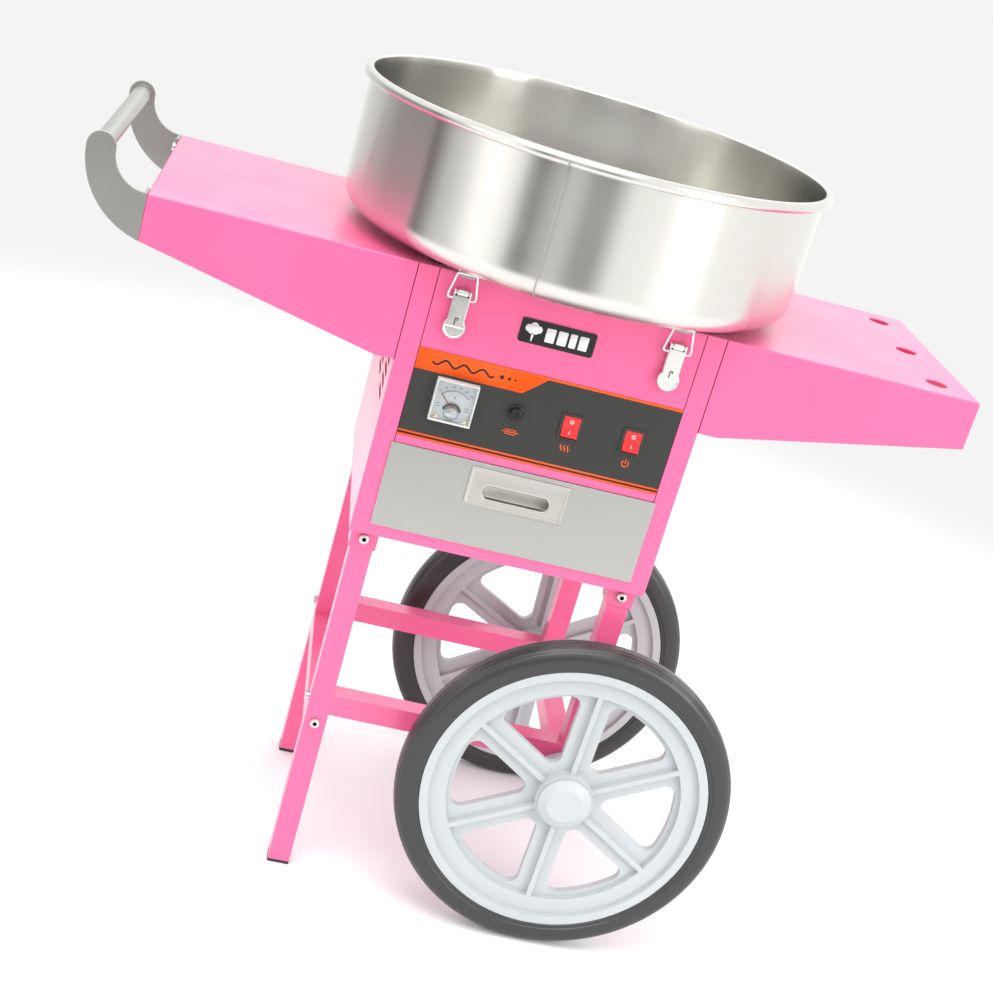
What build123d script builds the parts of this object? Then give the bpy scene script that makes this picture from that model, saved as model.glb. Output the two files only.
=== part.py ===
"""Candy floss machine on a two-wheeled cart, in millimetres.

+X points at the wheels, +Y at the back and +Z up. The origin is on the floor, under the middle of the whole
machine. Sizes along X are given from the spinner's axis, which stands at axis_x; the helper planes below put
every sketch in its place from there.
"""

import os
from math import cos, radians, sin, tan

from build123d import *

os.makedirs("parts", exist_ok=True)

# Cabinet: a welded frame of square posts and rails, closed by sheet panels
cabinet_width = 330.0
cabinet_depth = 319.0
cabinet_top = 736.0
cabinet_bottom = 435.0
sheet = 1.5
post = 22.0
bottom_rail = 13.0
top_rail = 12.0
post_corner = 1.2
panel_gap = 0.2
vent_length, vent_height, vent_pitch, vent_rows = 50.0, 7.0, 13.0, 5
vent_columns, vent_column_pitch, vent_low = 3, 87.0, 571.0

# Drawer
drawer_top = 543.9
drawer_bottom = 448.5
drawer_face_width = 290.6
drawer_face_thickness = 1.5
drawer_box_width, drawer_box_depth, drawer_box_height, drawer_rise, drawer_lip = 262.0, 270.0, 74.0, 4.0, 10.0
runner_thickness, runner_height = 3.0, 12.0
pull_width, pull_height, pull_z, pull_x = 108.0, 43.0, 516.5, -2.3
pull_proud, pull_flange, pull_cup_depth, pull_cup_corner, pull_lip = 1.2, 3.0, 16.0, 5.0, 0.8
slot_length, slot_height, slot_drop = 74.0, 15.5, 4.0

# Control label, badge and what is set into the front panel
label_left, label_right, label_bottom, label_top = -142.7, 142.6, 553.4, 651.4
label_thickness = 0.6
badge_width, badge_height, badge_corner, badge_x, badge_z, badge_thickness = 80.0, 26.0, 3.0, -8.0, 695.0, 1.2
meter_x, meter_z, meter_width, meter_height, meter_proud = -94.0, 602.0, 45.0, 46.0, 8.0
meter_barrel_d, meter_barrel_length, meter_wall, meter_window_thickness = 38.0, 26.0, 1.6, 1.4
needle_z, needle_length, needle_rest_deg, staff_d = 594.0, 20.0, 46.0, 1.6
fuse_x, fuse_z, fuse_flange_d, fuse_barrel_d, fuse_depth = -28.0, 606.0, 17.0, 12.0, 34.0
fuse_cap_d, fuse_cap_length, fuse_carrier_d = 12.4, 6.5, 8.0
rocker_z = 604.0
rocker_places = {"heat": (32.2, rocker_z), "power": (99.7, rocker_z)}
rocker_width, rocker_height, rocker_tilt_deg, rocker_crown = 17.6, 22.6, 6.5, 1.6
bezel_width, bezel_height, bezel_proud, housing_depth = 24.5, 29.0, 1.6, 27.0
bezel_corner, bezel_bevel, rocker_pin_d, rocker_pin_in, rocker_pin_reach = 1.5, 0.6, 3.0, 6.0, 1.5

# Bowl
bowl_radius, bowl_bottom, bowl_corner, bowl_sheet = 252.0, 745.5, 26.0, 1.2
bead_stand, bead_d, bead_top = 8.0, 11.2, 893.0
bowl_hole_radius, bowl_collar = 92.0, 20.0
pad_d, pad_inset, pad_bearing_deg = 16.0, 24.0, 43.0

# Spinner
shaft_d, shaft_bottom, shaft_top = 12.0, 600.0, 828.0
motor_d, motor_bottom, motor_top, motor_boss_d, motor_boss = 104.0, 566.0, 676.0, 42.0, 6.0
motor_corner, motor_end_cap, motor_seat_d = 6.0, 8.0, 28.0
bracket_size, bracket_sheet, standoff_d, standoff_pitch = 150.0, 3.0, 12.0, 122.0
ring_core_d, ring_d, ring_width, ring_core_bottom, ring_core_top = 30.0, 34.0, 6.0, 692.0, 726.0
ring_levels = (700.0, 714.0)
head_radius, head_bottom, head_floor = 80.0, 762.0, 3.0
band_bottom, band_height, band_wall, band_slots = 768.0, 36.0, 1.0, 48
heater_radius, heater_d, heater_turns, heater_pitch = 68.0, 5.0, 3, 9.0
cap_height, cap_lip, cap_wall, sugar_radius = 14.0, 4.0, 3.0, 34.0
top_hole_radius = 30.0

# Trays and handle
left_tray_length, left_tray_end = 276.0, 49.0
right_tray_length, right_tray_end = 283.5, 53.0
tray_root, tray_flat, tray_hem, tray_fold = 105.5, 20.0, 12.0, 2.0
cone_hole_d, cone_hole_in, cone_hole_pitch = 25.0, 39.0, 120.0
grip_d, grip_out, grip_up, plate_end_radius, plate_thickness = 20.0, 52.0, 35.0, 14.5, 3.0
flange_width, handle_bolt_d, handle_bolt_pitch, handle_bolt_in = 26.0, 6.0, 24.0, 2.0

# Legs and rails: square tube
tube, tube_wall = 25.0, 1.5
leg_x, leg_y = 145.5, 127.5
foot_cap, foot_lip, foot_plug = 4.0, 0.3, 14.0
socket, socket_drop = 30.0, 25.0
right_leg_below_axle = 18.0

# Axle and wheels
axle_d, axle_in, axle_z = 12.0, 4.5, 190.0
track, wheel_radius, tyre_width, tyre_inner_radius = 372.0, 190.0, 38.0, 162.0
tyre_shoulder, tyre_seat_corner, groove_in, groove_radius, groove_edge = 9.0, 2.0, 5.0, 1.2, 4.0
rim_width, rim_flange, rim_lip_radius, rim_step_radius, web_thickness = 34.0, 6.0, 152.0, 132.0, 9.0
hub_radius, hub_in, hub_out = 33.0, 36.0, 17.0
window_inset, window_outer, window_corner, windows = 17.0, 126.0, 11.0, 6
rib_width, rib_reach = 6.0, 144.0
rib_phase_deg = 88.0
hub_cap_radius, hub_cap_flat, hub_cap_depth, hub_cap_bevel, hub_cap_border = 30.0, 20.0, 9.5, 5.7, 4.0

# Latches: four alike, two at the front and two at the back
latch_x, lever_pivot_out, lever_pivot_z = 115.0, 6.2, 718.0
lever_width, lever_top, lever_tip_z, lever_tip_radius = 18.0, 3.4, 681.0, 11.5
lever_sheet = 1.0
bail_drop, bail_length, bail_lean_deg, bail_wire_d = 7.0, 27.0, 5.0, 2.3
bail_low_half, bail_top_half = 14.6, 10.3
catch_width, catch_sheet, catch_bottom = 16.0, 1.5, 733.5

# Fits
running = 0.05
clearance = 0.3
bolt_d, bolt_head_d, bolt_head, handle_bolt_end = 6.0, 11.0, 4.0, 8.0

# Places that follow from the sizes above
bead_outer_radius = bowl_radius + bead_stand
pad_x = (bowl_radius - bowl_corner - pad_inset) * cos(radians(pad_bearing_deg))
pad_y = (bowl_radius - bowl_corner - pad_inset) * sin(radians(pad_bearing_deg))
half_width = cabinet_width / 2
half_depth = cabinet_depth / 2
handle_reach = half_width + left_tray_length + grip_out + plate_end_radius
axis_x = (handle_reach - (half_width + right_tray_length)) / 2
panel_top = cabinet_top - sheet
label_front = half_depth + label_thickness
axle_x = leg_x - axle_in
spin_axis = Axis((axis_x, 0, 0), (0, 0, 1))
axle_axis = Axis((axis_x + axle_x, 0, axle_z), (0, 1, 0))


def level(z):
    """Horizontal plane at height z, centred on the spinner's axis."""
    return Plane(origin=(axis_x, 0, z))


def facing_front(out=0.0):
    """Upright plane `out` in front of the middle: sketch x is X, sketch y is Z, and it extrudes forwards."""
    return Plane(origin=(axis_x, -out, 0), x_dir=(1, 0, 0), z_dir=(0, -1, 0))


def facing_back(out=0.0):
    """The same, turned round to face backwards."""
    return Plane(origin=(axis_x, out, 0), x_dir=(-1, 0, 0), z_dir=(0, 1, 0))


def facing_right(x):
    """Upright plane at x from the spinner: sketch x is Y, sketch y is Z, and it extrudes towards +X."""
    return Plane(origin=(axis_x + x, 0, 0), x_dir=(0, 1, 0), z_dir=(1, 0, 0))


def facing_left(out):
    """Upright plane `out` to the left of the spinner, extruding towards -X; its sketch x is -Y."""
    return Plane(origin=(axis_x - out, 0, 0), x_dir=(0, -1, 0), z_dir=(-1, 0, 0))


def save(piece, name):
    piece.part.label = name
    export_step(piece.part, f"parts/{name}.step")


# --- Cabinet -------------------------------------------------------------------------------------------------

post_pitch_x = cabinet_width - post
post_pitch_y = cabinet_depth - post
legs_at = [(x, y) for x in (-leg_x, leg_x) for y in (-leg_y, leg_y)]

with BuildPart() as cabinet_frame:
    with BuildSketch(level(cabinet_bottom)):
        Rectangle(cabinet_width, cabinet_depth)
        Rectangle(cabinet_width - 2 * post, cabinet_depth - 2 * post, mode=Mode.SUBTRACT)
    extrude(amount=bottom_rail)
    with BuildSketch(level(cabinet_bottom)):
        with GridLocations(post_pitch_x, post_pitch_y, 2, 2):
            Rectangle(post, post)
    extrude(amount=panel_top - cabinet_bottom)
    with BuildSketch(level(panel_top)):
        Rectangle(cabinet_width - 2 * sheet, cabinet_depth - 2 * sheet)
        Rectangle(cabinet_width - 2 * post, cabinet_depth - 2 * post, mode=Mode.SUBTRACT)
    extrude(amount=-top_rail)
    with BuildSketch(facing_front(half_depth - sheet)):
        with Locations((0, drawer_top + 8)):
            Rectangle(cabinet_width - 2 * post, top_rail)
    extrude(amount=-top_rail)
    # the posts are tube, open at both ends
    with BuildSketch(level(cabinet_bottom + sheet)):
        with GridLocations(post_pitch_x, post_pitch_y, 2, 2):
            Rectangle(post - 2 * sheet, post - 2 * sheet)
    extrude(amount=cabinet_top - cabinet_bottom, mode=Mode.SUBTRACT)
    # leg sockets, welded under the corners
    with BuildSketch(level(cabinet_bottom)):
        with Locations(*legs_at):
            Rectangle(socket, socket)
    extrude(amount=-socket_drop)
    with BuildSketch(level(cabinet_bottom)):
        with Locations(*legs_at):
            Rectangle(tube + 2 * running, tube + 2 * running)
    extrude(amount=-socket_drop, mode=Mode.SUBTRACT)
    with BuildSketch(facing_front(0)):
        with Locations((-leg_x, cabinet_bottom - socket_drop / 2), (leg_x, cabinet_bottom - socket_drop / 2)):
            Circle(bolt_d / 2 + running)
    extrude(amount=half_depth, both=True, mode=Mode.SUBTRACT)
    fillet(cabinet_frame.edges().filter_by(Axis.Z).group_by(SortBy.LENGTH)[-1], post_corner)
save(cabinet_frame, "cabinet_frame")

panel_width = cabinet_width - 2 * post - 2 * panel_gap
side_panel_width = cabinet_depth - 2 * post - 2 * panel_gap
side_panel_low = cabinet_bottom + bottom_rail + panel_gap
panel_high = panel_top - panel_gap
rocker_centres = list(rocker_places.values())
housing_width = rocker_width + 2 * clearance + 4.0
housing_height = rocker_height + 2 * clearance + 4.4


def cut_for_controls():
    """Holes for the meter, the fuse holder and the two switches, on the sketch plane facing the front."""
    with Locations((meter_x, meter_z)):
        Circle(meter_barrel_d / 2 + clearance, mode=Mode.SUBTRACT)
    with Locations((fuse_x, fuse_z)):
        Circle(fuse_barrel_d / 2 + clearance, mode=Mode.SUBTRACT)
    with Locations(*rocker_centres):
        Rectangle(housing_width + clearance, housing_height + clearance, mode=Mode.SUBTRACT)


with BuildPart() as front_panel:
    with BuildSketch(facing_front(half_depth)):
        with Locations((0, (drawer_top + clearance + panel_high) / 2)):
            Rectangle(panel_width, panel_high - drawer_top - clearance)
        cut_for_controls()
    extrude(amount=-sheet)
save(front_panel, "front_panel")

with BuildPart() as control_label:
    with BuildSketch(facing_front(half_depth)):
        with Locations(((label_left + label_right) / 2, (label_bottom + label_top) / 2)):
            Rectangle(label_right - label_left, label_top - label_bottom)
        cut_for_controls()
    extrude(amount=label_thickness)
save(control_label, "control_label")

with BuildPart() as badge_plate:
    with BuildSketch(facing_front(half_depth)):
        with Locations((badge_x, badge_z)):
            RectangleRounded(badge_width, badge_height, badge_corner)
    extrude(amount=badge_thickness)
save(badge_plate, "badge_plate")

vent_centre_z = vent_low + (vent_rows - 1) * vent_pitch / 2

with BuildPart() as side_panels:
    for side in (-1, 1):
        with BuildSketch(facing_right(side * half_width)):
            with Locations((0, (side_panel_low + panel_high) / 2)):
                Rectangle(side_panel_width, panel_high - side_panel_low)
            with Locations((0, vent_centre_z)):
                with GridLocations(vent_column_pitch, vent_pitch, vent_columns, vent_rows):
                    SlotOverall(vent_length, vent_height, mode=Mode.SUBTRACT)
        extrude(amount=-side * sheet)
save(side_panels, "side_panels")

gland_x, gland_z, gland_d, gland_flange_d, gland_proud, gland_inside, cable_d = -90.0, 480.0, 16.0, 24.0, 14.0, 12.0, 9.0

with BuildPart() as back_panel:
    with BuildSketch(facing_back(half_depth)):
        with Locations((0, (side_panel_low + panel_high) / 2)):
            Rectangle(panel_width, panel_high - side_panel_low)
        with Locations((0, vent_centre_z)):
            with GridLocations(vent_column_pitch, vent_pitch, vent_columns, vent_rows):
                SlotOverall(vent_length, vent_height, mode=Mode.SUBTRACT)
        with Locations((-gland_x, gland_z)):
            Circle(gland_d / 2 + running, mode=Mode.SUBTRACT)
    extrude(amount=-sheet)
save(back_panel, "back_panel")

with BuildPart() as cable_gland:
    with BuildSketch(facing_back(half_depth)):
        with Locations((-gland_x, gland_z)):
            RegularPolygon(gland_flange_d / 2, 6)
    extrude(amount=gland_proud)
    with BuildSketch(facing_back(half_depth)):
        with Locations((-gland_x, gland_z)):
            Circle(gland_d / 2)
    extrude(amount=-gland_inside)
    with BuildSketch(facing_back(half_depth - gland_inside)):
        with Locations((-gland_x, gland_z)):
            Circle(cable_d / 2)
    extrude(amount=gland_inside + gland_proud, mode=Mode.SUBTRACT)
    chamfer(cable_gland.faces().sort_by(Axis.Y)[-1].outer_wire().edges(), 2)
save(cable_gland, "cable_gland")

with BuildPart() as top_plate:
    with BuildSketch(level(panel_top)):
        Rectangle(cabinet_width, cabinet_depth)
        Circle(top_hole_radius, mode=Mode.SUBTRACT)
    extrude(amount=sheet)
    fillet(top_plate.edges().filter_by(Axis.X).group_by(Axis.Z)[-1], 1.0)
save(top_plate, "top_plate")

floor_slot_length, floor_slot_width, floor_slot_pitch_x, floor_slot_pitch_y = 40.0, 8.0, 60.0, 120.0

with BuildPart() as base_plate:
    with BuildSketch(level(cabinet_bottom)):
        Rectangle(cabinet_width - 2 * post, cabinet_depth - 2 * post)
        with Locations(*legs_at):
            Rectangle(socket, socket, mode=Mode.SUBTRACT)
        with GridLocations(floor_slot_pitch_x, floor_slot_pitch_y, 3, 2):
            SlotOverall(floor_slot_length, floor_slot_width, rotation=90, mode=Mode.SUBTRACT)
    extrude(amount=sheet)
save(base_plate, "base_plate")

# --- Drawer --------------------------------------------------------------------------------------------------

drawer_centre_z = (drawer_top + drawer_bottom) / 2
drawer_face_back = half_depth + clearance
drawer_box_bottom = cabinet_bottom + bottom_rail + drawer_rise
drawer_box_top = drawer_box_bottom + drawer_box_height
drawer_box_front = half_depth - sheet
runner_z = drawer_box_bottom + drawer_box_height / 2

with BuildPart() as drawer_front:
    with BuildSketch(facing_front(drawer_face_back)):
        with Locations((0, drawer_centre_z)):
            Rectangle(drawer_face_width, drawer_top - drawer_bottom)
        with Locations((pull_x, pull_z)):
            Rectangle(pull_width - 2 * pull_flange, pull_height - 2 * pull_flange, mode=Mode.SUBTRACT)
    extrude(amount=drawer_face_thickness)
    # two folded lips behind the face carry it on the box
    with BuildSketch(facing_front(drawer_face_back)):
        with Locations((0, drawer_box_bottom + drawer_lip / 2)):
            Rectangle(drawer_box_width, drawer_lip)
    extrude(amount=drawer_box_front - drawer_face_back)
save(drawer_front, "drawer_front")

with BuildPart() as drawer_box:
    with BuildSketch(level(drawer_box_bottom)):
        with Locations((0, -drawer_box_front + drawer_box_depth / 2)):
            Rectangle(drawer_box_width, drawer_box_depth)
    extrude(amount=drawer_box_height)
    with BuildSketch(level(drawer_box_bottom + sheet)):
        with Locations((0, -drawer_box_front + drawer_box_depth / 2)):
            Rectangle(drawer_box_width - 2 * sheet, drawer_box_depth - 2 * sheet)
    extrude(amount=drawer_box_height, mode=Mode.SUBTRACT)
    with BuildSketch(facing_front(drawer_box_front)):
        with Locations((pull_x, pull_z)):
            Rectangle(pull_width - 2 * pull_flange + 2, pull_height + 2 * pull_flange)
    extrude(amount=-sheet, mode=Mode.SUBTRACT)
save(drawer_box, "drawer_box")

pull_front = drawer_face_back + drawer_face_thickness + pull_proud
slot_z = pull_z - slot_drop

with BuildPart() as drawer_pull:
    with BuildSketch(facing_front(drawer_face_back + drawer_face_thickness)):
        with Locations((pull_x, pull_z)):
            Rectangle(pull_width, pull_height)
    extrude(amount=pull_proud)
    with BuildSketch(facing_front(drawer_face_back + drawer_face_thickness)):
        with Locations((pull_x, pull_z)):
            Rectangle(pull_width - 2 * pull_flange - 2 * running, pull_height - 2 * pull_flange - 2 * running)
    extrude(amount=-pull_cup_depth)
    chamfer(drawer_pull.faces().sort_by(Axis.Y)[0].outer_wire().edges(), pull_lip)
    with BuildSketch(facing_front(pull_front)):
        with Locations((pull_x, slot_z)):
            SlotOverall(slot_length, slot_height)
    extrude(amount=-pull_proud - sheet, mode=Mode.SUBTRACT)
    # the cup behind the slot is wider than the slot, so that fingers hook up behind the plate
    with BuildSketch(facing_front(pull_front - pull_proud - sheet)):
        with Locations((pull_x, pull_z)):
            RectangleRounded(pull_width - 3 * pull_flange, pull_height - 3 * pull_flange, pull_cup_corner)
    extrude(amount=-pull_cup_depth + 2 * sheet, mode=Mode.SUBTRACT)
    fillet(drawer_pull.faces().sort_by(Axis.Y)[0].inner_wires()[0].edges(), pull_lip)
save(drawer_pull, "drawer_pull")

runner_in = drawer_box_width / 2 + clearance
runner_out = half_width - sheet

with BuildPart() as drawer_runners:
    for side in (-1, 1):
        with BuildSketch(facing_front(half_depth - post)):
            with Locations((side * (runner_in + runner_thickness / 2), runner_z)):
                Rectangle(runner_thickness, runner_height)
            with Locations((side * (runner_in + runner_out) / 2, runner_z)):
                Rectangle(runner_out - runner_in, runner_thickness)
        extrude(amount=post * 2 - cabinet_depth)
save(drawer_runners, "drawer_runners")

# --- Trays ---------------------------------------------------------------------------------------------------


def tray_shell(side, length, end_height):
    """Open-bottomed sheet tray beside the cabinet; side is -1 for the left one and +1 for the right one."""
    root_x = side * half_width
    end_x = side * (half_width + length)
    low_end = cabinet_top - end_height
    low_root = cabinet_top - tray_root
    bend_x = root_x + side * tray_flat
    with BuildPart() as shell:
        with BuildSketch(facing_front()):
            with BuildLine():
                Polyline(
                    (root_x, cabinet_top), (end_x, cabinet_top), (end_x, low_end),
                    (bend_x, low_root), (root_x, low_root), close=True,
                )
            make_face()
        extrude(amount=half_depth, both=True)
        top_edges = shell.faces().sort_by(Axis.Z)[-1].edges()
        root_edge = top_edges.filter_by(Axis.Y).sort_by(Axis.X)[0 if side > 0 else -1]
        corners = shell.edges().filter_by(Axis.Z).group_by(Axis.X)[-1 if side > 0 else 0]
        fillet([edge for edge in top_edges + corners if edge != root_edge], tray_fold)
        with BuildSketch(facing_front()):
            with Locations(((root_x + end_x) / 2, cabinet_top - sheet - tray_root / 2)):
                Rectangle(length - 2 * sheet, tray_root)
        extrude(amount=half_depth - sheet, both=True, mode=Mode.SUBTRACT)
        # a hem folded inwards along the bottom of both skirts
        for out in (half_depth - sheet, -half_depth + sheet + tray_hem):
            with BuildSketch(facing_front(out)):
                with BuildLine():
                    Polyline(
                        (end_x - side * sheet, low_end), (bend_x, low_root), (root_x + side * sheet, low_root),
                        (root_x + side * sheet, low_root + sheet), (bend_x, low_root + sheet),
                        (end_x - side * sheet, low_end + sheet), close=True,
                    )
                make_face()
            extrude(amount=-tray_hem)
    return shell


flange_x = -half_width - left_tray_length
flange_z = cabinet_top - left_tray_end / 2
handle_bolt_y = half_depth - flange_width / 2 - handle_bolt_in
handle_bolts_at = [(side * handle_bolt_y, flange_z + up * handle_bolt_pitch / 2) for side in (-1, 1) for up in (-1, 1)]

left_shell = tray_shell(-1, left_tray_length, left_tray_end)
with BuildPart() as left_tray:
    add(left_shell.part)
    with BuildSketch(facing_right(flange_x)):
        with Locations(*handle_bolts_at):
            Circle(handle_bolt_d / 2 + running)
    extrude(amount=sheet, mode=Mode.SUBTRACT)
save(left_tray, "left_tray")

cone_hole_x = half_width + right_tray_length - cone_hole_in
right_shell = tray_shell(1, right_tray_length, right_tray_end)
with BuildPart() as right_tray:
    add(right_shell.part)
    with BuildSketch(level(cabinet_top)):
        with Locations((cone_hole_x, 0)):
            with GridLocations(1, cone_hole_pitch, 1, 3):
                Circle(cone_hole_d / 2)
    extrude(amount=-sheet, mode=Mode.SUBTRACT)
save(right_tray, "right_tray")

# --- Handle --------------------------------------------------------------------------------------------------

bar_x = flange_x - grip_out
bar_z = cabinet_top + grip_up
root_low = cabinet_top - left_tray_end
outer_x = bar_x - plate_end_radius
inner_x = bar_x + plate_end_radius
outer_run = flange_x - outer_x
outer_drop = bar_z - root_low
outer_radius = (outer_run**2 + outer_drop**2) / (2 * outer_run)
inner_run = flange_x - inner_x
inner_radius = (inner_run**2 + grip_up**2) / (2 * inner_run)

with BuildPart() as handle:
    for out in (half_depth, -half_depth + plate_thickness):
        with BuildSketch(facing_front(out)):
            with BuildLine():
                outer = RadiusArc((flange_x, root_low), (outer_x, bar_z), outer_radius)
                ThreePointArc((outer_x, bar_z), (bar_x, bar_z + plate_end_radius), (inner_x, bar_z))
                inner = RadiusArc((inner_x, bar_z), (flange_x, cabinet_top), -inner_radius)
                Line((flange_x, cabinet_top), (flange_x, root_low))
            make_face()
        extrude(amount=-plate_thickness)
    for side in (-1, 1):
        with BuildSketch(facing_right(flange_x)):
            with Locations((side * (half_depth - flange_width / 2), flange_z)):
                Rectangle(flange_width, left_tray_end)
            with Locations(*handle_bolts_at):
                Circle(handle_bolt_d / 2 + running, mode=Mode.SUBTRACT)
        extrude(amount=-plate_thickness)
    with BuildSketch(facing_front()):
        with Locations((bar_x, bar_z)):
            Circle(grip_d / 2)
    extrude(amount=half_depth - plate_thickness, both=True)
save(handle, "handle")

with BuildPart() as handle_bolts:
    with BuildSketch(facing_right(flange_x - plate_thickness)):
        with Locations(*handle_bolts_at):
            Circle(bolt_head_d / 2)
    extrude(amount=-bolt_head)
    fillet(handle_bolts.edges().group_by(Axis.X)[0], 1.5)
    with BuildSketch(facing_right(flange_x - plate_thickness)):
        with Locations(*handle_bolts_at):
            Circle(handle_bolt_d / 2)
    extrude(amount=plate_thickness + sheet + handle_bolt_end)
    with BuildSketch(facing_right(flange_x + sheet)):
        with Locations(*handle_bolts_at):
            RegularPolygon(bolt_head_d / 2, 6)
    extrude(amount=5)
save(handle_bolts, "handle_bolts")

# --- Legs, rails and their bolts -----------------------------------------------------------------------------

rail_low_z = axle_z
rail_high_z = axle_z + tube
leg_top = cabinet_bottom - running
inner_leg = tube - 2 * tube_wall
socket_bolt_z = cabinet_bottom - socket_drop / 2
right_leg_bottom = axle_z - right_leg_below_axle


def leg_pair(x, bottom, cross_hole_x, cross_hole_d):
    """Front and rear leg at x, with the holes for the socket bolt, the rail bolt and the cross hole below."""
    with BuildPart() as legs:
        with BuildSketch(level(bottom)):
            with Locations((x, -leg_y), (x, leg_y)):
                Rectangle(tube, tube)
                Rectangle(inner_leg, inner_leg, mode=Mode.SUBTRACT)
        extrude(amount=leg_top - bottom)
        with BuildSketch(facing_front()):
            with Locations((x, socket_bolt_z)):
                Circle(bolt_d / 2 + running)
            with Locations((cross_hole_x, rail_low_z)):
                Circle(cross_hole_d / 2 + running)
        extrude(amount=half_depth, both=True, mode=Mode.SUBTRACT)
        with BuildSketch(facing_right(x)):
            with Locations((-leg_y, rail_high_z), (leg_y, rail_high_z)):
                Circle(bolt_d / 2 + running)
        extrude(amount=tube, both=True, mode=Mode.SUBTRACT)
    return legs


left_legs = leg_pair(-leg_x, foot_cap, -leg_x, bolt_d)
save(left_legs, "left_legs")
right_legs = leg_pair(leg_x, right_leg_bottom, axle_x, axle_d)
save(right_legs, "right_legs")

with BuildPart() as foot_caps:
    with BuildSketch(level(0)):
        with Locations((-leg_x, -leg_y), (-leg_x, leg_y)):
            Rectangle(tube + 2 * foot_lip, tube + 2 * foot_lip)
    extrude(amount=foot_cap)
    fillet(foot_caps.edges().filter_by(Axis.Z), 2)
    chamfer(foot_caps.edges().group_by(Axis.Z)[0], 0.8)
    with BuildSketch(level(foot_cap)):
        with Locations((-leg_x, -leg_y), (-leg_x, leg_y)):
            Rectangle(inner_leg - 2 * running, inner_leg - 2 * running)
    extrude(amount=foot_plug)
save(foot_caps, "foot_caps")

rail_span_x = 2 * leg_x - tube
rail_span_y = 2 * leg_y - tube
rail_end = 3.0

with BuildPart() as cross_rails:
    for y in (-leg_y, leg_y):
        with BuildSketch(facing_right(0)):
            with Locations((y, rail_high_z)):
                Rectangle(tube, tube)
        extrude(amount=rail_span_x / 2, both=True)
        with BuildSketch(facing_right(0)):
            with Locations((y, rail_high_z)):
                Rectangle(inner_leg, inner_leg)
        extrude(amount=rail_span_x / 2 - rail_end, both=True, mode=Mode.SUBTRACT)
        with BuildSketch(facing_right(0)):
            with Locations((y, rail_high_z)):
                Circle(bolt_d / 2 + running)
        extrude(amount=rail_span_x, both=True, mode=Mode.SUBTRACT)
save(cross_rails, "cross_rails")

with BuildPart() as side_rails:
    for x, hole_x, hole_d in ((-leg_x, -leg_x, bolt_d), (leg_x, axle_x, axle_d)):
        with BuildSketch(facing_front()):
            with Locations((x, rail_low_z)):
                Rectangle(tube, tube)
        extrude(amount=rail_span_y / 2, both=True)
        with BuildSketch(facing_front()):
            with Locations((x, rail_low_z)):
                Rectangle(inner_leg, inner_leg)
        extrude(amount=rail_span_y / 2 - rail_end, both=True, mode=Mode.SUBTRACT)
        with BuildSketch(facing_front()):
            with Locations((hole_x, rail_low_z)):
                Circle(hole_d / 2 + running)
        extrude(amount=rail_span_y, both=True, mode=Mode.SUBTRACT)
save(side_rails, "side_rails")

bolt_reach = tube + rail_end + 6.0
socket_bolt_reach = socket + 2.0


def bolt(plane, u, v, reach):
    """Pan-headed bolt whose head stands out of the plane at (u, v), and whose shank goes `reach` behind it."""
    with BuildPart() as one:
        with BuildSketch(plane):
            with Locations((u, v)):
                Circle(bolt_head_d / 2)
        extrude(amount=bolt_head)
        with BuildSketch(plane):
            with Locations((u, v)):
                Circle(bolt_d / 2)
        extrude(amount=-reach)
    return one.part


with BuildPart() as frame_bolts:
    for y in (-leg_y, leg_y):
        add(bolt(facing_right(leg_x + tube / 2), y, rail_high_z, bolt_reach))
        add(bolt(facing_left(leg_x + tube / 2), -y, rail_high_z, bolt_reach))
    for x in (-leg_x, leg_x):
        add(bolt(facing_front(leg_y + socket / 2), x, socket_bolt_z, socket_bolt_reach))
        add(bolt(facing_back(leg_y + socket / 2), -x, socket_bolt_z, socket_bolt_reach))
    add(bolt(facing_front(leg_y + tube / 2), -leg_x, rail_low_z, bolt_reach))
    add(bolt(facing_back(leg_y + tube / 2), leg_x, rail_low_z, bolt_reach))
save(frame_bolts, "frame_bolts")

# --- Axle and wheels -----------------------------------------------------------------------------------------

half_track = track / 2
hub_inner_y = half_track - hub_in
hub_outer_y = half_track + hub_out
washer_out = hub_outer_y + clearance
axle_end = washer_out + 7.0

with BuildPart() as axle:
    with BuildSketch(facing_front()):
        with Locations((axle_x, axle_z)):
            Circle(axle_d / 2)
    extrude(amount=axle_end, both=True)
    chamfer(axle.edges().filter_by(GeomType.CIRCLE), 1)
save(axle, "axle")

with BuildPart() as axle_fittings:
    # spacer sleeves between the legs and the hubs, and a nut outside each hub
    for low, high, radius in ((leg_y + tube / 2, hub_inner_y - clearance, 11.0), (washer_out, washer_out + 6, 9.5)):
        for sign in (-1, 1):
            with BuildSketch(facing_front(-sign * low)):
                with Locations((axle_x, axle_z)):
                    Circle(radius)
                    Circle(axle_d / 2 + running / 2, mode=Mode.SUBTRACT)
            extrude(amount=-sign * (high - low))
save(axle_fittings, "axle_fittings")


def wheel_plane(side):
    """Plane through the axle for a wheel's section: sketch x runs along the axle, away from the cart."""
    return Plane(
        origin=(axis_x + axle_x, side * half_track, axle_z), x_dir=(0, side, 0), z_dir=(side, 0, 0)
    )


def wheel_face(side, out):
    """Plane square to the axle, `out` beyond the wheel's middle; sketch y is up and it extrudes outwards."""
    y = side * (half_track + out)
    return Plane(origin=(axis_x + axle_x, y, axle_z), x_dir=(-side, 0, 0), z_dir=(0, side, 0))


rim_core_width = rim_width - 2 * rim_flange


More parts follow.
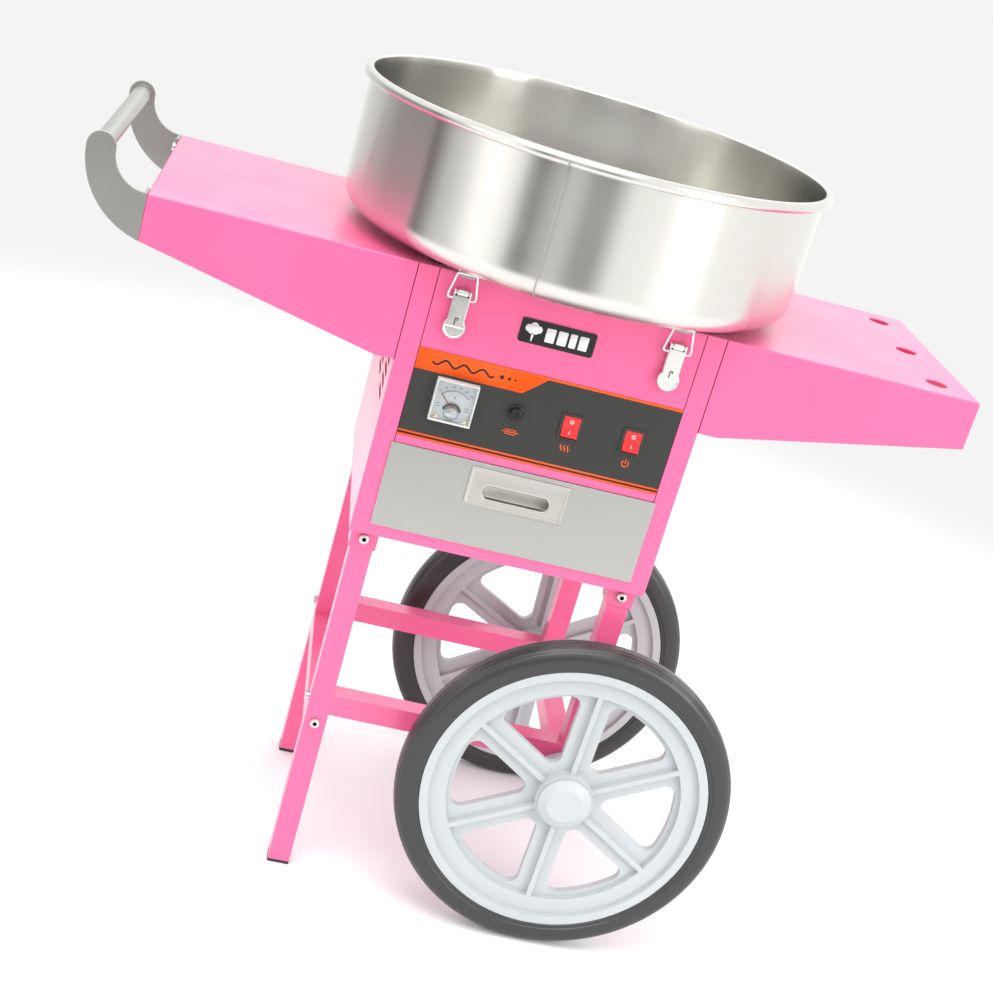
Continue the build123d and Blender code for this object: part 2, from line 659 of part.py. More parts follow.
def window_outline():
    """Three-sided window whose straight sides run along two neighbouring ribs, with well-rounded corners."""
    half_angle = radians(180 / windows)
    tip_x = window_inset / sin(half_angle)
    reach = window_outer * cos(half_angle) + window_inset * sin(half_angle)
    corner = (reach, (reach - tip_x) * tan(half_angle))
    with BuildSketch() as outline:
        with BuildLine():
            Line((tip_x, 0), corner)
            ThreePointArc(corner, (window_outer, 0), (corner[0], -corner[1]))
            Line((corner[0], -corner[1]), (tip_x, 0))
        make_face()
        fillet(outline.vertices(), window_corner)
    return outline.sketch


def wheel_rim(side):
    """Moulded one-piece wheel: rim, recessed web with windows and ribs, and hub."""
    with BuildPart() as rim:
        with BuildSketch(wheel_plane(side)):
            with Locations((0, (tyre_inner_radius + rim_lip_radius) / 2)):
                Rectangle(rim_width, tyre_inner_radius - rim_lip_radius)
            with Locations((0, (rim_lip_radius + rim_step_radius) / 2)):
                Rectangle(rim_core_width, rim_lip_radius - rim_step_radius)
            with Locations((0, (rim_step_radius + hub_radius) / 2)):
                Rectangle(web_thickness, rim_step_radius - hub_radius)
            with Locations(((hub_out - hub_in) / 2, (hub_radius + axle_d / 2 + running) / 2)):
                Rectangle(hub_in + hub_out, hub_radius - axle_d / 2 - running)
        revolve(axis=axle_axis)
        # ribs run from the hub to the step, on both faces of the web
        rib_length = rib_reach - hub_radius + 2
        rib_centre = (rib_reach + hub_radius - 2) / 2
        with BuildSketch(wheel_face(side, -rim_core_width / 2)):
            with PolarLocations(rib_centre, windows, rib_phase_deg):
                Rectangle(rib_length, rib_width)
        extrude(amount=rim_core_width)
        # three-sided windows between the ribs
        with BuildSketch(wheel_face(side, -rim_width / 2)):
            with PolarLocations(0, windows, rib_phase_deg + 180 / windows):
                add(window_outline())
        extrude(amount=rim_width, mode=Mode.SUBTRACT)
    return rim


def tyre(side):
    """Solid tyre with a rounded tread and a groove round each shoulder."""
    tread = wheel_radius - tyre_inner_radius
    groove_out = tyre_width / 2 - groove_edge
    with BuildPart() as ring:
        with BuildSketch(wheel_plane(side)) as section:
            with Locations((0, tyre_inner_radius + tread / 2)):
                Rectangle(tyre_width, tread)
            fillet(section.vertices().group_by(Axis.Y)[-1], tyre_shoulder)
            fillet(section.vertices().group_by(Axis.Y)[0], tyre_seat_corner)
            with Locations((groove_out, wheel_radius - groove_in), (-groove_out, wheel_radius - groove_in)):
                Circle(groove_radius, mode=Mode.SUBTRACT)
        revolve(axis=axle_axis)
    return ring


def hub_cap(side):
    """Bevelled cap over the axle's nut, pushed on the hub's end."""
    with BuildPart() as cap:
        with BuildSketch(wheel_face(side, hub_out)):
            Circle(hub_cap_radius)
        extrude(amount=hub_cap_depth)
        bevel = hub_cap_radius - hub_cap_flat
        rim_edge = cap.faces().sort_by(Axis.Y)[-1 if side > 0 else 0].edges()
        chamfer(rim_edge, hub_cap_bevel, bevel)
        with BuildSketch(wheel_face(side, hub_out)):
            Circle(hub_cap_flat - hub_cap_border)
        extrude(amount=hub_cap_depth - 2, mode=Mode.SUBTRACT)
    return cap


for side, place in ((-1, "front"), (1, "rear")):
    save(wheel_rim(side), f"wheel_{place}")
    save(tyre(side), f"tyre_{place}")
    save(hub_cap(side), f"hub_cap_{place}")

# --- Motor, spinner and what turns with it -------------------------------------------------------------------

boss_top = motor_top + motor_boss
bracket_top = boss_top + bracket_sheet

with BuildPart() as motor:
    with BuildSketch(level(motor_bottom)):
        Circle(motor_d / 2)
    extrude(amount=motor_top - motor_bottom)
    fillet(motor.edges().filter_by(GeomType.CIRCLE), motor_corner)
    with BuildSketch(level(motor_top)):
        Circle(motor_boss_d / 2)
    extrude(amount=motor_boss)
    with BuildSketch(level(motor_bottom + motor_end_cap)):
        Circle(shaft_d / 2 + running)
    extrude(amount=boss_top - motor_bottom, mode=Mode.SUBTRACT)
save(motor, "motor")

with BuildPart() as motor_bracket:
    with BuildSketch(level(boss_top)):
        Rectangle(bracket_size, bracket_size)
        Circle(motor_seat_d / 2, mode=Mode.SUBTRACT)
    extrude(amount=bracket_sheet)
    with BuildSketch(level(bracket_top)):
        with GridLocations(standoff_pitch, standoff_pitch, 2, 2):
            Circle(standoff_d / 2)
    extrude(amount=panel_top - bracket_top)
save(motor_bracket, "motor_bracket")

with BuildPart() as spinner_shaft:
    with BuildSketch(level(shaft_bottom)):
        Circle(shaft_d / 2)
    extrude(amount=shaft_top - shaft_bottom)
    chamfer(spinner_shaft.edges().filter_by(GeomType.CIRCLE), 1)
save(spinner_shaft, "spinner_shaft")

with BuildPart() as slip_rings:
    with BuildSketch(level(ring_core_bottom)):
        Circle(ring_core_d / 2)
    extrude(amount=ring_core_top - ring_core_bottom)
    for z in ring_levels:
        with BuildSketch(level(z)):
            Circle(ring_d / 2)
        extrude(amount=ring_width)
    with BuildSketch(level(ring_core_bottom)):
        Circle(shaft_d / 2)
    extrude(amount=ring_core_top - ring_core_bottom, mode=Mode.SUBTRACT)
save(slip_rings, "slip_rings")

brush_block_in = ring_core_d / 2 + 8.0
brush_block, brush_block_depth, brush_depth = 14.0, 22.0, 6.0

with BuildPart() as brush_holder:
    with BuildSketch(level(bracket_top)):
        with Locations((brush_block_in + brush_block / 2, 0)):
            Rectangle(brush_block, brush_block_depth)
    extrude(amount=ring_core_top - bracket_top)
    for z in ring_levels:
        with BuildSketch(facing_right(ring_d / 2 + clearance)):
            with Locations((0, z + ring_width / 2)):
                Rectangle(brush_depth, ring_width - 1)
        extrude(amount=brush_block_in - ring_d / 2)
save(brush_holder, "brush_holder")

head_top = band_bottom + band_height
hub_d, hub_below, hub_gap, head_wall, head_corner = 26.0, 12.0, 4.0, 5.0, 3.0
strap_width, strap_depth = 3.0, 8.0
slot_depth, slot_width, slot_margin, cap_corner = 8.0, 2.4, 5.0, 8.0

with BuildPart() as head_base:
    with BuildSketch(level(head_bottom)):
        Circle(head_radius)
    extrude(amount=band_bottom - head_bottom)
    fillet(head_base.edges().group_by(Axis.Z)[0], head_corner)
    with BuildSketch(level(head_bottom + head_floor)):
        Circle(head_radius - head_wall)
        Circle(hub_d / 2 + hub_gap, mode=Mode.SUBTRACT)
    extrude(amount=band_bottom - head_bottom, mode=Mode.SUBTRACT)
    with BuildSketch(level(head_bottom - hub_below)):
        Circle(hub_d / 2)
    extrude(amount=head_top - head_bottom - 2)
    with BuildSketch(level(head_bottom - hub_below)):
        Circle(shaft_d / 2)
    extrude(amount=shaft_top - head_bottom, mode=Mode.SUBTRACT)
save(head_base, "head_base")

with BuildPart() as heater_ring:
    # turns of sheathed element, stacked and joined by one upright strap
    for turn in range(heater_turns):
        z = band_bottom + 6 + turn * heater_pitch
        with BuildSketch(facing_front()):
            with Locations((heater_radius, z)):
                Circle(heater_d / 2)
        revolve(axis=spin_axis)
    for side in (-1, 1):
        with BuildSketch(level(head_bottom + head_floor)):
            with Locations((side * heater_radius, 0)):
                Rectangle(strap_width, strap_depth)
        extrude(amount=band_bottom - head_bottom + 6 + (heater_turns - 1) * heater_pitch)
save(heater_ring, "heater_ring")

with BuildPart() as floss_band:
    with BuildSketch(level(band_bottom)):
        Circle(head_radius - 1)
        Circle(head_radius - 1 - band_wall, mode=Mode.SUBTRACT)
    extrude(amount=band_height)
    with BuildSketch(level(band_bottom + slot_margin)):
        with PolarLocations(head_radius - 1, band_slots):
            Rectangle(slot_depth, slot_width)
    extrude(amount=band_height - 2 * slot_margin, mode=Mode.SUBTRACT)
save(floss_band, "floss_band")

with BuildPart() as head_cap:
    with BuildSketch(level(head_top)):
        Circle(head_radius)
    extrude(amount=cap_height)
    fillet(head_cap.edges().group_by(Axis.Z)[-1], cap_corner)
    # the sugar well in the middle runs right through
    with BuildSketch(level(head_top)):
        Circle(sugar_radius)
    extrude(amount=cap_height, mode=Mode.SUBTRACT)
    # hollow underneath, between the outer lip and the well's wall
    with BuildSketch(level(head_top)):
        Circle(head_radius - cap_lip)
        Circle(sugar_radius + cap_wall, mode=Mode.SUBTRACT)
    extrude(amount=cap_height - cap_lip, mode=Mode.SUBTRACT)
save(head_cap, "head_cap")

# --- Bowl ----------------------------------------------------------------------------------------------------

bead_radius = bead_d / 2
bead_centre = (bead_outer_radius - bead_radius, bead_top - bead_radius)


def round_block(radius, bottom, corner):
    """Straight-sided round solid from `bottom` up to the bead, with its lower edge rounded."""
    with BuildPart() as block:
        with BuildSketch(level(bottom)):
            Circle(radius)
        extrude(amount=bead_centre[1] - bottom)
        fillet(block.edges().group_by(Axis.Z)[0], corner)
    return block.part


with BuildPart() as bowl:
    add(round_block(bowl_radius, bowl_bottom, bowl_corner))
    add(
        round_block(bowl_radius - bowl_sheet, bowl_bottom + bowl_sheet, bowl_corner - bowl_sheet),
        mode=Mode.SUBTRACT,
    )
    with BuildSketch(facing_front()):
        with Locations(bead_centre):
            Circle(bead_radius)
            Circle(bead_radius - bowl_sheet, mode=Mode.SUBTRACT)
        # the bead is rolled from the wall, so it stays open underneath
        with Locations((bowl_radius + 1.5, bead_centre[1] - bead_radius / 2)):
            Rectangle(2.2, bead_radius, mode=Mode.SUBTRACT)
    revolve(axis=spin_axis)
    with BuildSketch(level(bowl_bottom)):
        Circle(bowl_hole_radius + bowl_sheet)
    extrude(amount=bowl_collar)
    with BuildSketch(level(bowl_bottom)):
        Circle(bowl_hole_radius)
    extrude(amount=bowl_collar, mode=Mode.SUBTRACT)
save(bowl, "bowl")

with BuildPart() as bowl_pads:
    with BuildSketch(level(cabinet_top)):
        with GridLocations(2 * pad_x, 2 * pad_y, 2, 2):
            Circle(pad_d / 2)
    extrude(amount=bowl_bottom - cabinet_top - clearance)
    fillet(bowl_pads.edges().group_by(Axis.Z)[-1], 2)
save(bowl_pads, "bowl_pads")

# --- Latches -------------------------------------------------------------------------------------------------

latch_places = {
    "front_left": (facing_front, -latch_x),
    "front_right": (facing_front, latch_x),
    "rear_left": (facing_back, latch_x),
    "rear_right": (facing_back, -latch_x),
}
pin_radius = 1.5
ear_inner, ear_outer, ear_radius, ear_foot = 5.9, 6.9, 2.2, 8.0
lever_front_out = lever_pivot_out + ear_radius + 0.2
keyhole_length, keyhole_width, keyhole_up, keyhole_eye_up, keyhole_eye_radius = 10.0, 1.8, 8.0, 12.0, 1.6
base_width, base_low, base_sheet = 14.0, 676.0, 1.2
base_high = lever_pivot_z - 1.0
flange_low, flange_in = 686.0, 2.0
bail_pivot_z = lever_pivot_z - bail_drop
bail_foot, bail_bend, bail_shoulder, bail_ease = 7.4, 1.6, 3.6, 0.6
bail_radius = bail_wire_d / 2


def latch_side(facing, u):
    """Plane square to the cabinet's face at u: sketch x is the distance out of the face and sketch y is Z."""
    face = facing(half_depth)
    return Plane(origin=face.from_local_coords((u, 0, 0)), x_dir=face.z_dir, z_dir=-face.x_dir)


def latch_base(facing, u):
    """Riveted base plate with the two ears that hold the lever's pin."""
    with BuildPart() as base:
        with BuildSketch(latch_side(facing, u)):
            with Locations((base_sheet / 2, (base_low + base_high) / 2)):
                Rectangle(base_sheet, base_high - base_low)
        extrude(amount=base_width / 2, both=True)
        for sign in (-1, 1):
            with BuildSketch(latch_side(facing, u + sign * (ear_inner + ear_outer) / 2)):
                with BuildLine():
                    Polyline(
                        (0, base_high - ear_foot), (lever_pivot_out, lever_pivot_z - ear_radius),
                        (lever_pivot_out, lever_pivot_z + ear_radius), (base_sheet, base_high), (0, base_high),
                        close=True,
                    )
                make_face()
                with Locations((lever_pivot_out, lever_pivot_z)):
                    Circle(ear_radius)
                    Circle(pin_radius + running, mode=Mode.SUBTRACT)
            extrude(amount=(ear_outer - ear_inner) / 2, both=True)
    return base.part


def latch_lever(facing, u):
    """Channel-shaped lever with a round thumb tip, turning on the pin across the base's ears."""
    with BuildPart() as lever:
        with BuildSketch(facing(half_depth + lever_front_out)) as front:
            with Locations((u, (lever_pivot_z + lever_top + lever_tip_z) / 2)):
                Rectangle(lever_width, lever_pivot_z + lever_top - lever_tip_z)
            with Locations((u, lever_tip_z)):
                Circle(lever_tip_radius)
            # keyhole
            with Locations((u, lever_tip_z + keyhole_up)):
                SlotOverall(keyhole_length, keyhole_width, rotation=90, mode=Mode.SUBTRACT)
            with Locations((u, lever_tip_z + keyhole_eye_up)):
                Circle(keyhole_eye_radius, mode=Mode.SUBTRACT)
        extrude(amount=lever_sheet)
        for sign in (-1, 1):
            with BuildSketch(latch_side(facing, u + sign * (lever_width - lever_sheet) / 2)):
                with Locations(((flange_in + lever_front_out) / 2, (flange_low + lever_pivot_z + lever_top) / 2)):
                    Rectangle(lever_front_out - flange_in, lever_pivot_z + lever_top - flange_low)
                with Locations((lever_pivot_out, bail_pivot_z)):
                    Circle(bail_radius + running, mode=Mode.SUBTRACT)
            extrude(amount=lever_sheet / 2, both=True)
        with BuildSketch(latch_side(facing, u)):
            with Locations((lever_pivot_out, lever_pivot_z)):
                Circle(pin_radius)
        extrude(amount=lever_width / 2, both=True)
    return lever


def latch_bail(facing, u):
    """Wire loop hooked in the lever's two flanges, leaning a little out of the face."""
    pivot = facing(half_depth + lever_pivot_out).from_local_coords((u, bail_pivot_z, 0))
    face = facing(0)
    leaning = Plane(origin=pivot, x_dir=face.x_dir, z_dir=face.z_dir.rotate(Axis((0, 0, 0), face.x_dir), bail_lean_deg))
    with BuildPart() as bail:
        with BuildLine(leaning):
            wire = FilletPolyline(
                (-bail_foot, 0), (-bail_low_half + bail_ease, 0), (-bail_low_half, bail_shoulder), (-bail_top_half, bail_length),
                (bail_top_half, bail_length), (bail_low_half, bail_shoulder), (bail_low_half - bail_ease, 0), (bail_foot, 0),
                radius=bail_bend,
            )
        with BuildSketch(Plane(origin=wire @ 0, z_dir=wire % 0)):
            Circle(bail_radius)
        sweep()
    return bail


catch_foot, hook_in, hook_out, hook_lip = 14.0, 1.0, 6.3, 5.0


def bowl_catch(facing, u):
    """Hook plate under the bowl that the bail pulls on; the bail hangs just clear of it."""
    with BuildPart() as catch:
        with BuildSketch(latch_side(facing, u)):
            with BuildLine():
                Polyline(
                    (-catch_foot, bowl_bottom), (hook_in + catch_sheet, bowl_bottom),
                    (hook_in + catch_sheet, catch_bottom + catch_sheet), (hook_out - catch_sheet, catch_bottom + catch_sheet),
                    (hook_out - catch_sheet, catch_bottom + hook_lip), (hook_out, catch_bottom + hook_lip),
                    (hook_out, catch_bottom), (hook_in, catch_bottom), (hook_in, bowl_bottom - catch_sheet),
                    (-catch_foot, bowl_bottom - catch_sheet), close=True,
                )
            make_face()
        extrude(amount=catch_width / 2, both=True)
    return catch.part


with BuildPart() as latch_bases:
    for facing, u in latch_places.values():
        add(latch_base(facing, u))
save(latch_bases, "latch_bases")

with BuildPart() as bowl_catches:
    for facing, u in latch_places.values():
        add(bowl_catch(facing, u))
save(bowl_catches, "bowl_catches")

for place, (facing, u) in latch_places.items():
    save(latch_lever(facing, u), f"latch_lever_{place}")
    save(latch_bail(facing, u), f"latch_bail_{place}")

# --- Controls ------------------------------------------------------------------------------------------------

meter_front = label_front + meter_proud
dial_out = label_front + 2.0
staff_length, needle_width, needle_sheet, needle_boss_radius = 8.0, 0.9, 0.6, 2.4

with BuildPart() as meter_case:
    with BuildSketch(facing_front(label_front)):
        with Locations((meter_x, meter_z)):
            RectangleRounded(meter_width, meter_height, 1)
    extrude(amount=meter_proud)
    with BuildSketch(facing_front(dial_out)):
        with Locations((meter_x, meter_z)):
            Rectangle(meter_width - 2 * meter_wall, meter_height - 2 * meter_wall)
    extrude(amount=meter_proud, mode=Mode.SUBTRACT)
    with BuildSketch(facing_front(label_front)):
        with Locations((meter_x, meter_z)):
            Circle(meter_barrel_d / 2)
    extrude(amount=-meter_barrel_length)
    with BuildSketch(facing_front(dial_out)):
        with Locations((meter_x, needle_z)):
            Circle(staff_d / 2 + running)
    extrude(amount=-staff_length, mode=Mode.SUBTRACT)
save(meter_case, "meter_case")

with BuildPart() as meter_window:
    with BuildSketch(facing_front(meter_front)):
        with Locations((meter_x, meter_z)):
            Rectangle(meter_width - 2 * meter_wall, meter_height - 2 * meter_wall)
    extrude(amount=-meter_window_thickness)
save(meter_window, "meter_window")

needle_tip = (
    meter_x - needle_length * sin(radians(needle_rest_deg)),
    needle_z + needle_length * cos(radians(needle_rest_deg)),
)
needle_out = dial_out + 1.2

with BuildPart() as meter_needle:
    with BuildSketch(facing_front(needle_out)):
        with BuildLine():
            Line((meter_x, needle_z), needle_tip)
        trace(line_width=needle_width)
        with Locations((meter_x, needle_z)):
            Circle(needle_boss_radius)
    extrude(amount=needle_sheet)
    with BuildSketch(facing_front(needle_out)):
        with Locations((meter_x, needle_z)):
            Circle(staff_d / 2)
    extrude(amount=-staff_length)
save(meter_needle, "meter_needle")

fuse_front = label_front + 2.5
fuse_slot_width, fuse_slot_length, fuse_slot_depth, fuse_bevel = 1.4, 8.0, 1.5, 0.8

with BuildPart() as fuse_holder:
    with BuildSketch(facing_front(label_front)):
        with Locations((fuse_x, fuse_z)):
            Circle(fuse_flange_d / 2)
    extrude(amount=fuse_front - label_front)
    chamfer(fuse_holder.edges().group_by(Axis.Y)[0], 1)
    with BuildSketch(facing_front(label_front)):
        with Locations((fuse_x, fuse_z)):
            Circle(fuse_barrel_d / 2)
    extrude(amount=-fuse_depth)
    with BuildSketch(facing_front(fuse_front)):
        with Locations((fuse_x, fuse_z)):
            Circle(fuse_carrier_d / 2 + running)
    extrude(amount=-fuse_depth, mode=Mode.SUBTRACT)
save(fuse_holder, "fuse_holder")

with BuildPart() as fuse_cap:
    with BuildSketch(facing_front(fuse_front + clearance)):
        with Locations((fuse_x, fuse_z)):
            Circle(fuse_cap_d / 2)
    extrude(amount=fuse_cap_length)
    chamfer(fuse_cap.edges().group_by(Axis.Y)[0], fuse_bevel)
    with BuildSketch(facing_front(fuse_front + clearance + fuse_cap_length)):
        with Locations((fuse_x, fuse_z)):
            Rectangle(fuse_slot_width, fuse_slot_length)
    extrude(amount=-fuse_slot_depth, mode=Mode.SUBTRACT)
    with BuildSketch(facing_front(fuse_front + clearance)):
        with Locations((fuse_x, fuse_z)):
            Circle(fuse_carrier_d / 2)
    extrude(amount=-fuse_depth + 4)
save(fuse_cap, "fuse_cap")

cavity_width = rocker_width + 2 * clearance
cavity_height = rocker_height + 2.0
cavity_depth = 14.0
bezel_front = label_front + bezel_proud
rocker_pivot_out = bezel_front - rocker_pin_in

with BuildPart() as switch_housings:
    with BuildSketch(facing_front(label_front)):
        with Locations(*rocker_centres):
            RectangleRounded(bezel_width, bezel_height, bezel_corner)
    extrude(amount=bezel_proud)
    chamfer(switch_housings.faces().sort_by(Axis.Y)[:2].edges(), bezel_bevel)
    with BuildSketch(facing_front(label_front)):
        with Locations(*rocker_centres):
            Rectangle(housing_width, housing_height)
    extrude(amount=-housing_depth)
    with BuildSketch(facing_front(bezel_front)):
        with Locations(*rocker_centres):
            Rectangle(cavity_width, cavity_height)
    extrude(amount=-cavity_depth, mode=Mode.SUBTRACT)
    # holes for the pins that the rockers turn on
    with BuildSketch(facing_right(0)):
        with Locations((-rocker_pivot_out, rocker_z)):
            Circle(rocker_pin_d / 2 + running)
    extrude(amount=half_width, both=True, mode=Mode.SUBTRACT)
save(switch_housings, "switch_housings")



def rocker(x, z):
    """Rocker with a shallow hollow face, tilted so that its top end is pressed in."""
    half = rocker_height / 2
    tilt = radians(rocker_tilt_deg)
    outline = [(-6.5, -half + 1), (5.6, -half), (6.4 + rocker_crown, -half), (6.0, 0), (6.4 + rocker_crown, half),
               (5.6, half), (-6.5, half - 1)]
    turned = [(out * cos(tilt) - up * sin(tilt), out * sin(tilt) + up * cos(tilt)) for out, up in outline]
    with BuildPart() as button:
        side = latch_side(facing_front, x)
        with BuildSketch(side):
            with BuildLine():
                Polyline(*[(rocker_pivot_out - half_depth + out, z + up) for out, up in turned], close=True)
            make_face()
        extrude(amount=rocker_width / 2, both=True)
        fillet(button.edges().filter_by(Axis.X), bezel_bevel)
        with BuildSketch(side):
            with Locations((rocker_pivot_out - half_depth, z)):
                Circle(rocker_pin_d / 2)
        extrude(amount=rocker_width / 2 + rocker_pin_reach, both=True)
    return button


for purpose, (x, z) in rocker_places.items():
    save(rocker(x, z), f"rocker_{purpose}")
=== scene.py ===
"""Candy floss machine on a two-wheeled cart: the finishes and the fine metalwork over the CAD frame.

Lengths are in metres and the frame is the CAD's: +X towards the wheels, +Y to the back, +Z up.
"""

import bpy
import numpy as np
from mathutils import Matrix, Vector


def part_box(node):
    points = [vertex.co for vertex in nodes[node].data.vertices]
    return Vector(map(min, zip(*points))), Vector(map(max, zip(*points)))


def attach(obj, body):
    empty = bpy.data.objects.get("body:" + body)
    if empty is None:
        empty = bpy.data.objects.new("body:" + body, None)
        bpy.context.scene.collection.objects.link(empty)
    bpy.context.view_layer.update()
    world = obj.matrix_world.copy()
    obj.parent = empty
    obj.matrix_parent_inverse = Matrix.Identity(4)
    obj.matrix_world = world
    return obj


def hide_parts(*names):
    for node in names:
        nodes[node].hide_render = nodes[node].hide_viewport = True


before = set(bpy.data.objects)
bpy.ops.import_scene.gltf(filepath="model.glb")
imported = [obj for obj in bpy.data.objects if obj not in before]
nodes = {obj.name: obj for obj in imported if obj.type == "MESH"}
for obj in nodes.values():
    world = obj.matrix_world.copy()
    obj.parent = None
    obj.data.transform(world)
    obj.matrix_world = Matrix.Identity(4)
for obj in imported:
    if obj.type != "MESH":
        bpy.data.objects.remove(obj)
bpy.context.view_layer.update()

# ----- Studio ---------------------------------------------------------------------------------------------
# A plain pale floor that fades into a white room, and soft light from large panels. The room is brighter in
# some directions than in others, which is what draws the tall light and dark streaks on the steel.

floor_half = 2.6
floor_mesh = bpy.data.meshes.new("floor")
floor_mesh.from_pydata([(-floor_half, -floor_half, 0), (floor_half, -floor_half, 0),
                        (floor_half, floor_half, 0),
                        (-floor_half, floor_half, 0)], [], [(0, 1, 2, 3)])
floor = bpy.data.objects.new("floor", floor_mesh)
bpy.context.scene.collection.objects.link(floor)


def add_node(tree, kind, feeds=None, **settings):
    """Adds a node. feeds maps an input's name or number to a value, or to the output that drives it."""
    node = tree.nodes.new(kind)
    for key, value in settings.items():
        setattr(node, key, value)
    for key, value in (feeds or {}).items():
        if isinstance(value, bpy.types.NodeSocket):
            tree.links.new(value, node.inputs[key])
        else:
            node.inputs[key].default_value = value
    return node


def new_material(name, **sockets):
    """New material, its shader's own sockets set. Returns the material, its tree and its shader."""
    made = bpy.data.materials.new(name)
    made.use_nodes = True
    shader = made.node_tree.nodes["Principled BSDF"]
    for key, value in sockets.items():
        shader.inputs[key.replace("_", " ")].default_value = value
    return made, made.node_tree, shader


floor_paint, tree, shader = new_material("floor_paint", Base_Color=(0.93, 0.93, 0.93, 1), Roughness=0.8)
from_middle = add_node(tree, "ShaderNodeVectorMath",
                       {0: add_node(tree, "ShaderNodeTexCoord").outputs["Object"]}, operation="LENGTH")
fade = add_node(tree, "ShaderNodeMapRange", {0: from_middle.outputs["Value"], 1: 1.1, 2: 2.4, 3: 0.0, 4: 1.0},
                interpolation_type="SMOOTHSTEP")
clear = add_node(tree, "ShaderNodeBsdfTransparent")
faded = add_node(tree, "ShaderNodeMixShader", {0: fade.outputs[0], 1: shader.outputs[0], 2: clear.outputs[0]})
tree.links.new(faded.outputs[0], tree.nodes["Material Output"].inputs["Surface"])
floor_mesh.materials.append(floor_paint)

world = bpy.data.worlds.new("studio")
world.use_nodes = True
bpy.context.scene.world = world
tree = world.node_tree
direction = add_node(tree, "ShaderNodeTexCoord").outputs["Generated"]
parts = add_node(tree, "ShaderNodeSeparateXYZ", {0: direction}).outputs
bearing = add_node(tree, "ShaderNodeMath", {0: parts["Y"], 1: parts["X"]}, operation="ARCTAN2").outputs[0]
turn = add_node(tree, "ShaderNodeMapRange", {0: bearing, 1: -np.pi, 2: np.pi, 3: 0.0, 4: 1.0}).outputs[0]
walls = add_node(tree, "ShaderNodeValToRGB", {0: turn})
walls.color_ramp.interpolation = "EASE"
for place, shade in (
    (0.007, 0.12), (0.021, 0.45), (0.038, 0.85), (0.067, 0.95), (0.085, 1.50), (0.109, 1.80), (0.127, 1.60),
    (0.142, 1.25), (0.155, 0.34), (0.169, 0.12), (0.185, 0.50), (0.204, 0.80), (0.221, 0.75), (0.239, 0.36),
    (0.264, 0.38), (0.279, 0.90), (0.294, 1.40), (0.379, 1.50), (0.549, 1.45), (0.639, 1.35), (0.739, 1.15),
    (0.859, 0.90), (0.899, 0.62), (0.929, 0.42), (0.989, 0.40),
):
    stop = walls.color_ramp.elements.new(place)
    stop.color = (shade, shade, shade, 1)
walls.color_ramp.elements.remove(walls.color_ramp.elements[-1])
walls.color_ramp.elements[0].color = (0.14, 0.13, 0.13, 1)
height = add_node(tree, "ShaderNodeMapRange", {0: parts["Z"], 1: 0.08, 2: 0.45, 3: 0.0, 4: 1.0}).outputs[0]
room = add_node(tree, "ShaderNodeMix", {0: height, 6: walls.outputs[0], 7: (1.45, 1.46, 1.48, 1)},
                data_type="RGBA")
seen = add_node(tree, "ShaderNodeLightPath").outputs["Is Camera Ray"]
shown = add_node(tree, "ShaderNodeMix", {0: seen, 6: room.outputs[2], 7: (1.0, 1.0, 1.0, 1)},
                 data_type="RGBA")
tree.links.new(shown.outputs[2], tree.nodes["Background"].inputs["Color"])
tree.nodes["Background"].inputs["Strength"].default_value = 0.90

for name, place, aim, size, power in (
    ("light_top", (-0.4, -1.2, 3.2), (0, 0, 0.6), (1.8, 1.8), 44),
    ("light_left", (-3.0, -1.9, 1.6), (0, 0, 0.6), (1.2, 2.2), 6),
    ("light_right", (2.6, -2.4, 1.7), (0, 0, 0.6), (1.2, 2.2), 42),
    ("light_back", (0.6, 3.0, 2.6), (0, 0, 0.7), (2.2, 1.4), 8),
):
    lamp = bpy.data.lights.new(name, "AREA")
    lamp.shape, lamp.size, lamp.size_y, lamp.energy = "RECTANGLE", size[0], size[1], power
    panel = bpy.data.objects.new(name, lamp)
    panel.location = place
    panel.rotation_euler = (Vector(aim) - Vector(place)).to_track_quat("-Z", "Y").to_euler()
    bpy.context.scene.collection.objects.link(panel)

# The camera looks down and from the left, and is tilted: the cart stands level and the picture leans.
swing, pitch, tilt = 0.1606, -0.3503, -0.2849
camera_place = (-0.27661, -1.91085, 1.15815)
focal_length, sensor_width = 64.47, 36.0
ahead = Vector((np.sin(swing) * np.cos(pitch), np.cos(swing) * np.cos(pitch), np.sin(pitch)))
across = ahead.cross(Vector((0, 0, 1))).normalized()
down = ahead.cross(across)
right = np.cos(tilt) * across + np.sin(tilt) * down
under = -np.sin(tilt) * across + np.cos(tilt) * down
lens = bpy.data.cameras.new("camera")
lens.lens, lens.sensor_width = focal_length, sensor_width
camera = bpy.data.objects.new("camera", lens)
looking = Matrix((right, -under, -ahead)).transposed().to_4x4()
camera.matrix_world = Matrix.Translation(camera_place) @ looking
bpy.context.scene.collection.objects.link(camera)
bpy.context.scene.camera = camera
bpy.context.scene.view_settings.view_transform = "Standard"

# ----- Painted steel: cabinet, trays, legs and rails ------------------------------------------------------
# Folded and welded sheet and square tube, powder coated pink. The coat is glossy with a faint orange peel,
# shows a paler line on the folds, partly thinner coat and partly painted edge highlight, and catches a little
# sugar dust on what faces up.


def shader_group(name, inputs, outputs):
    """New node group. inputs maps each input's name to its first value, outputs each one's to its kind."""
    tree = bpy.data.node_groups.new(name, "ShaderNodeTree")
    for label, value in inputs.items():
        kind = "NodeSocketVector" if isinstance(value, tuple) else "NodeSocketFloat"
        tree.interface.new_socket(label, in_out="INPUT", socket_type=kind).default_value = value
    for label, kind in outputs.items():
        tree.interface.new_socket(label, in_out="OUTPUT", socket_type="NodeSocket" + kind)
    return tree, tree.nodes.new("NodeGroupInput").outputs, tree.nodes.new("NodeGroupOutput").inputs


